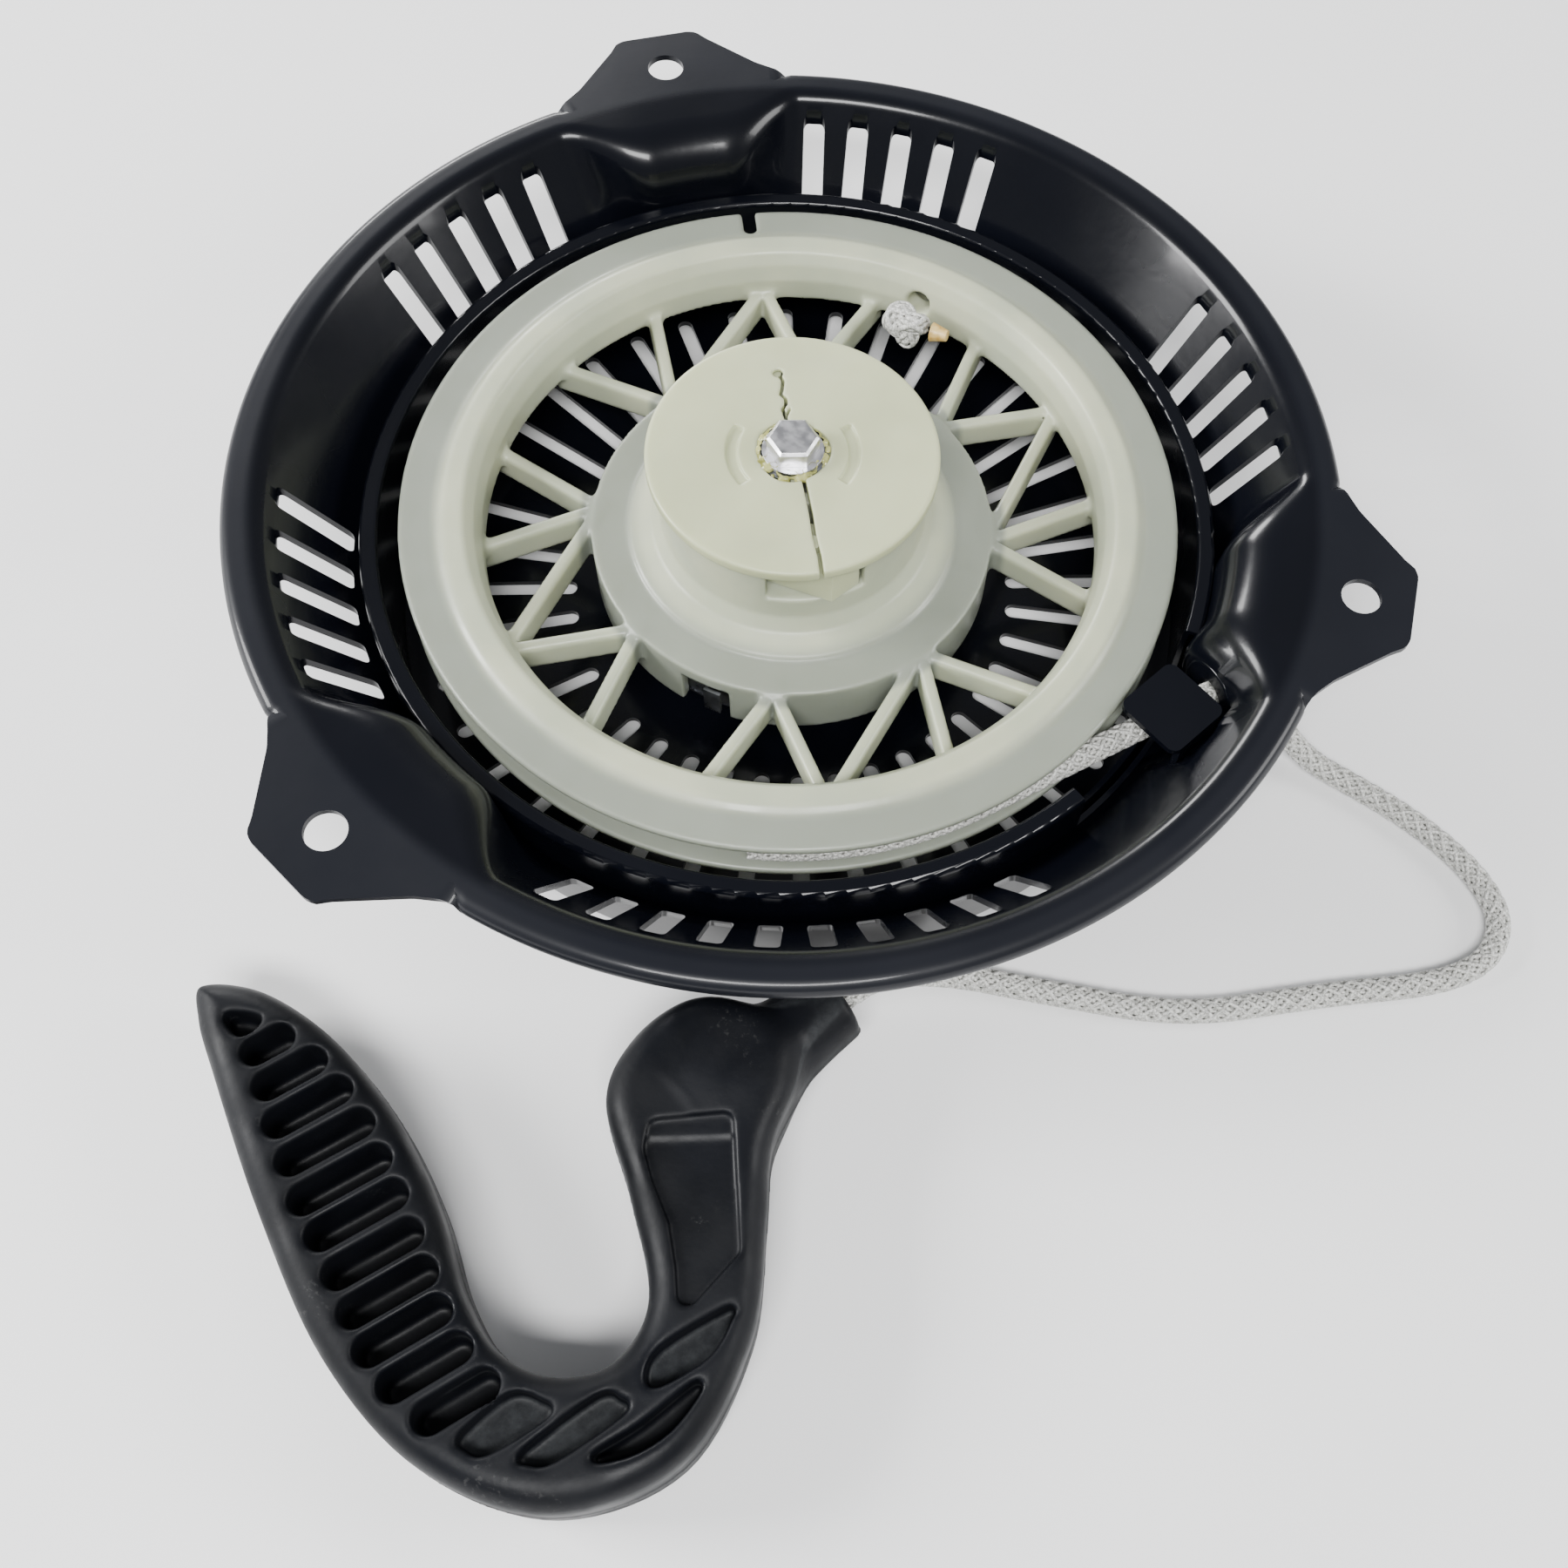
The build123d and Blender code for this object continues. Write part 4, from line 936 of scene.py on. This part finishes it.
def turned_solid(section, r, z, rounding):
    """Distance field of a section turned round the axis, its corners softened."""
    fine = np.arange(0, 75, 0.1)
    table = polygon_distance(np.array(section), *np.meshgrid(fine, z, indexing="ij"))
    for _ in range(rounding):
        table[1:-1] = (table[:-2] + 2 * table[1:-1] + table[2:]) / 4
    out = np.empty(r.shape + (len(z),), np.float32)
    for k in range(len(z)):
        out[:, :, k] = np.interp(r, fine, table[:, k])
    return out


def reel_mesh(step=0.5):
    low = np.array((-71.5, -71.5, -29.0))
    count = np.ceil(np.array((143.0, 143.0, 32.7)) / step).astype(int) + 1
    x = (low[0] + step * np.arange(count[0]))[:, None]
    y = (low[1] + step * np.arange(count[1]))[None, :]
    x, y = np.broadcast_arrays(x, y)
    heights = low[2] + step * np.arange(count[2])
    z = heights[None, None, :].astype(np.float32)
    r, az = np.hypot(x, y), np.degrees(np.arctan2(y, x))
    rim = turned_solid(RIM_SECTION, r, heights, 12)
    hub = turned_solid(HUB_SECTION, r, heights, 12)
    legs = np.full(x.shape, 1e9)
    for root in range(8):
        start = SPOKE_ROOT + root * 45
        leans = [11.25, -11.25]
        if root in (0, 4):
            leans.append(33.75)
        if root in (3, 7):
            leans.append(-33.75)
        for lean in leans:
            leg = [polar(35.6, start), polar(57.6, start + lean)]
            legs = np.minimum(legs, line_distance(leg, x, y))
    legs = (legs - SPOKE_HALF).astype(np.float32)[:, :, None]
    middle, half = (SPOKE_LOW + SPOKE_HIGH) / 2, (SPOKE_HIGH - SPOKE_LOW) / 2
    spokes = smooth_max(legs - 0.03 * (SPOKE_HIGH - z), np.abs(z - middle) - half, 0.9)
    body = smooth_min(smooth_min(hub, spokes, 1.3), rim, 1.3)

    def across(angle):
        d = polar(1, angle)
        return x * d[0] + y * d[1], -x * d[1] + y * d[0]

    u, v = across(NOTCH_ANGLE)
    notch = np.hypot(np.maximum(65.8 - u, 0), v) - 1.3
    body = smooth_max(body, -np.maximum(notch[:, :, None], REEL_TOP - 2.2 - z), 0.3)
    u, v = across(KNOT_ANGLE)
    hole = np.sqrt((v**2)[:, :, None] + (z - GROOVE_Z) ** 2) - 2.4
    body = smooth_max(body, -np.maximum(hole, (54 - u)[:, :, None]), 0.5)
    u, v = across(HOOK_ANGLE)
    hook = np.maximum(np.abs(v) - 4.5, 33 - u)
    body = smooth_max(body, -np.maximum(hook[:, :, None], z + 19.0), 0.3)
    for pivot in PIVOT_ANGLES:
        turn = (az - pivot + 180) % 360 - 180
        aside = np.abs(turn - POCKET_MIDDLE)
        pocket = np.maximum(aside - POCKET_HALF, 0) * 0.3 - (aside < POCKET_HALF) * 0.5
        pocket = np.maximum(pocket, np.maximum(r - POCKET_RADII[1], POCKET_RADII[0] - r))
        window = (np.abs(turn - WINDOW_MIDDLE) - WINDOW_HALF) * 0.41
        window = np.maximum(np.maximum(window, WINDOW_RADII[0] - r), r - WINDOW_RADII[1])
        pin_at = polar(PIVOT_RADIUS, pivot)
        pin = np.hypot(x - pin_at[0], y - pin_at[1]) - PIN_RADIUS
        both = np.maximum(np.minimum(pocket, window), -pin)[:, :, None].astype(np.float32)
        body = smooth_max(body, -np.maximum(both, POCKET_FLOOR - z), 0.3)
    return field_mesh("reel_body", body, low, step, 1)


place_piece(reel_mesh(), NYLON, "reel", ("pulley",))

# ---------------------------------------------------------------- guide plate
PLATE_RADIUS = PLATE_HIGH[0]
PLATE_Z = (2.4, 4.9)
SLIT = [polar(5.6, -73.5), polar(8.0, -76.0), polar(13.4, -78.3), polar(17.9, -79.9), polar(22.4, -79.9),
        polar(26.9, -80.8)]
CRACK = [polar(5.6, 95), polar(7.4, 99), polar(9.4, 99.8), polar(10.4, 95.4), polar(11.6, 95.2),
         polar(12.6, 98.6), polar(13.9, 96.6), polar(15.6, 95.3), polar(17.4, 97.6)]
PLATE_TURN, PAWL_TURN = 28.0, 22.0


def plate_mesh(step=0.28):
    low = np.array((-PLATE_RADIUS - 1, -PLATE_RADIUS - 1, PLATE_Z[0] - 1))
    count = np.ceil(np.array((2 * PLATE_RADIUS + 2, 2 * PLATE_RADIUS + 2, 4.5)) / step).astype(int) + 1
    x = (low[0] + step * np.arange(count[0]))[:, None]
    y = (low[1] + step * np.arange(count[1]))[None, :]
    x, y = np.broadcast_arrays(x, y)
    z = (low[2] + step * np.arange(count[2]))[None, None, :]
    r, az = np.hypot(x, y), np.degrees(np.arctan2(y, x))
    middle, half = sum(PLATE_Z) / 2, (PLATE_Z[1] - PLATE_Z[0]) / 2
    body = smooth_max((r - PLATE_RADIUS)[:, :, None], np.abs(z - middle) - half, 0.7)
    # an uneven dish round the bolt
    dish_edge = r - 6.3 - 0.5 * np.sin(3 * np.radians(az) + 1) * 0.6
    dish = smooth_max(dish_edge[:, :, None], PLATE_Z[1] - 1.1 - z, 0.4)
    body = smooth_max(body, -dish, 0.6)
    for centre in (-4, 184):
        aside = np.abs((az - centre + 180) % 360 - 180)
        arc = np.maximum(np.abs(r - 10.7) - 1.0, (aside - 34) * 0.18)
        body = smooth_max(body, -np.maximum(arc[:, :, None], PLATE_Z[1] - 0.6 - z), 0.12)
    gap = np.minimum(line_distance(SLIT, x, y) - 0.36, line_distance(CRACK, x, y) - 0.30)
    gap = np.minimum(gap, line_distance([CRACK[1], polar(9.2, 92.5)], x, y) - 0.26)
    gap = np.minimum(gap, np.hypot(x - CRACK[-1][0], y - CRACK[-1][1]) - 0.95)
    body = smooth_max(body, -gap[:, :, None], 0.2)
    for pivot in PIVOT_ANGLES:
        path = []
        for share in np.linspace(0, 1, 7):
            peg = polar(PIVOT_RADIUS, pivot) + PEG_REACH * polar(1, pivot + 90 - PAWL_TURN * share)
            back = math.radians(-PLATE_TURN * share)
            path.append((peg[0] * math.cos(back) - peg[1] * math.sin(back),
                         peg[0] * math.sin(back) + peg[1] * math.cos(back)))
        slot = line_distance(path, x, y) - PEG_SLOT
        body = smooth_max(body, -np.maximum(slot[:, :, None], z - 3.9), 0.2)
    body = np.maximum(body, -(r - 3.3)[:, :, None])
    return field_mesh("guide_disc", body, low, step, 1)


place_piece(plate_mesh(), PLATE_NYLON, "guide", ("guide_plate",))

rng = np.random.default_rng(7)


def grease_mesh(step=0.2):
    low = np.array((-8.0, -8.0, 2.6))
    axes = [low[k] + step * np.arange(n) for k, n in enumerate((81, 81, 15))]
    x, y, z = np.meshgrid(*axes, indexing="ij")
    body = np.full(x.shape, 9.0)
    for _ in range(120):
        a, r, size = rng.uniform(-180, 180), rng.uniform(4.5, 6.3), rng.uniform(0.4, 0.85)
        c = (*polar(r, a), 4.9 - 0.75 * max(0.0, r - 5.3) + rng.uniform(-0.15, 0.2))
        ball = np.sqrt((x - c[0]) ** 2 + (y - c[1]) ** 2 + 1.6 * (z - c[2]) ** 2) - size
        body = smooth_min(body, ball, 0.35)
    return field_mesh("bolt_grease", body, low, step, 1)


place_piece(grease_mesh(), GREASE, "guide")

# ---------------------------------------------------------------- knot at the reel's end of the rope
KNOT_RADIUS, KNOT_SIZE = 50.4, 0.98
KNOT_AT = np.append(polar(KNOT_RADIUS, KNOT_ANGLE), GROOVE_Z)
knot_out = np.append(polar(1, KNOT_ANGLE), 0.0)
knot_up = np.array((0, 0, 1.0))
knot_side = np.cross(knot_up, knot_out)
knot_line = []
for t in np.linspace(0, 2 * math.pi * 0.94, 70):
    u = math.sin(t) + 2 * math.sin(2 * t)
    v = math.cos(t) - 2 * math.cos(2 * t)
    w = -math.sin(3 * t)
    knot_line.append(KNOT_AT + KNOT_SIZE * u * knot_side + KNOT_SIZE * v * knot_up + 1.1 * w * knot_out)
knot = braid("knot_loops", np.array(knot_line), WOUND_DIAMETER, WOUND_STRANDS, 12.0, 0.5)
place_piece(knot, ROPE, "reel", ("reel_knot",))
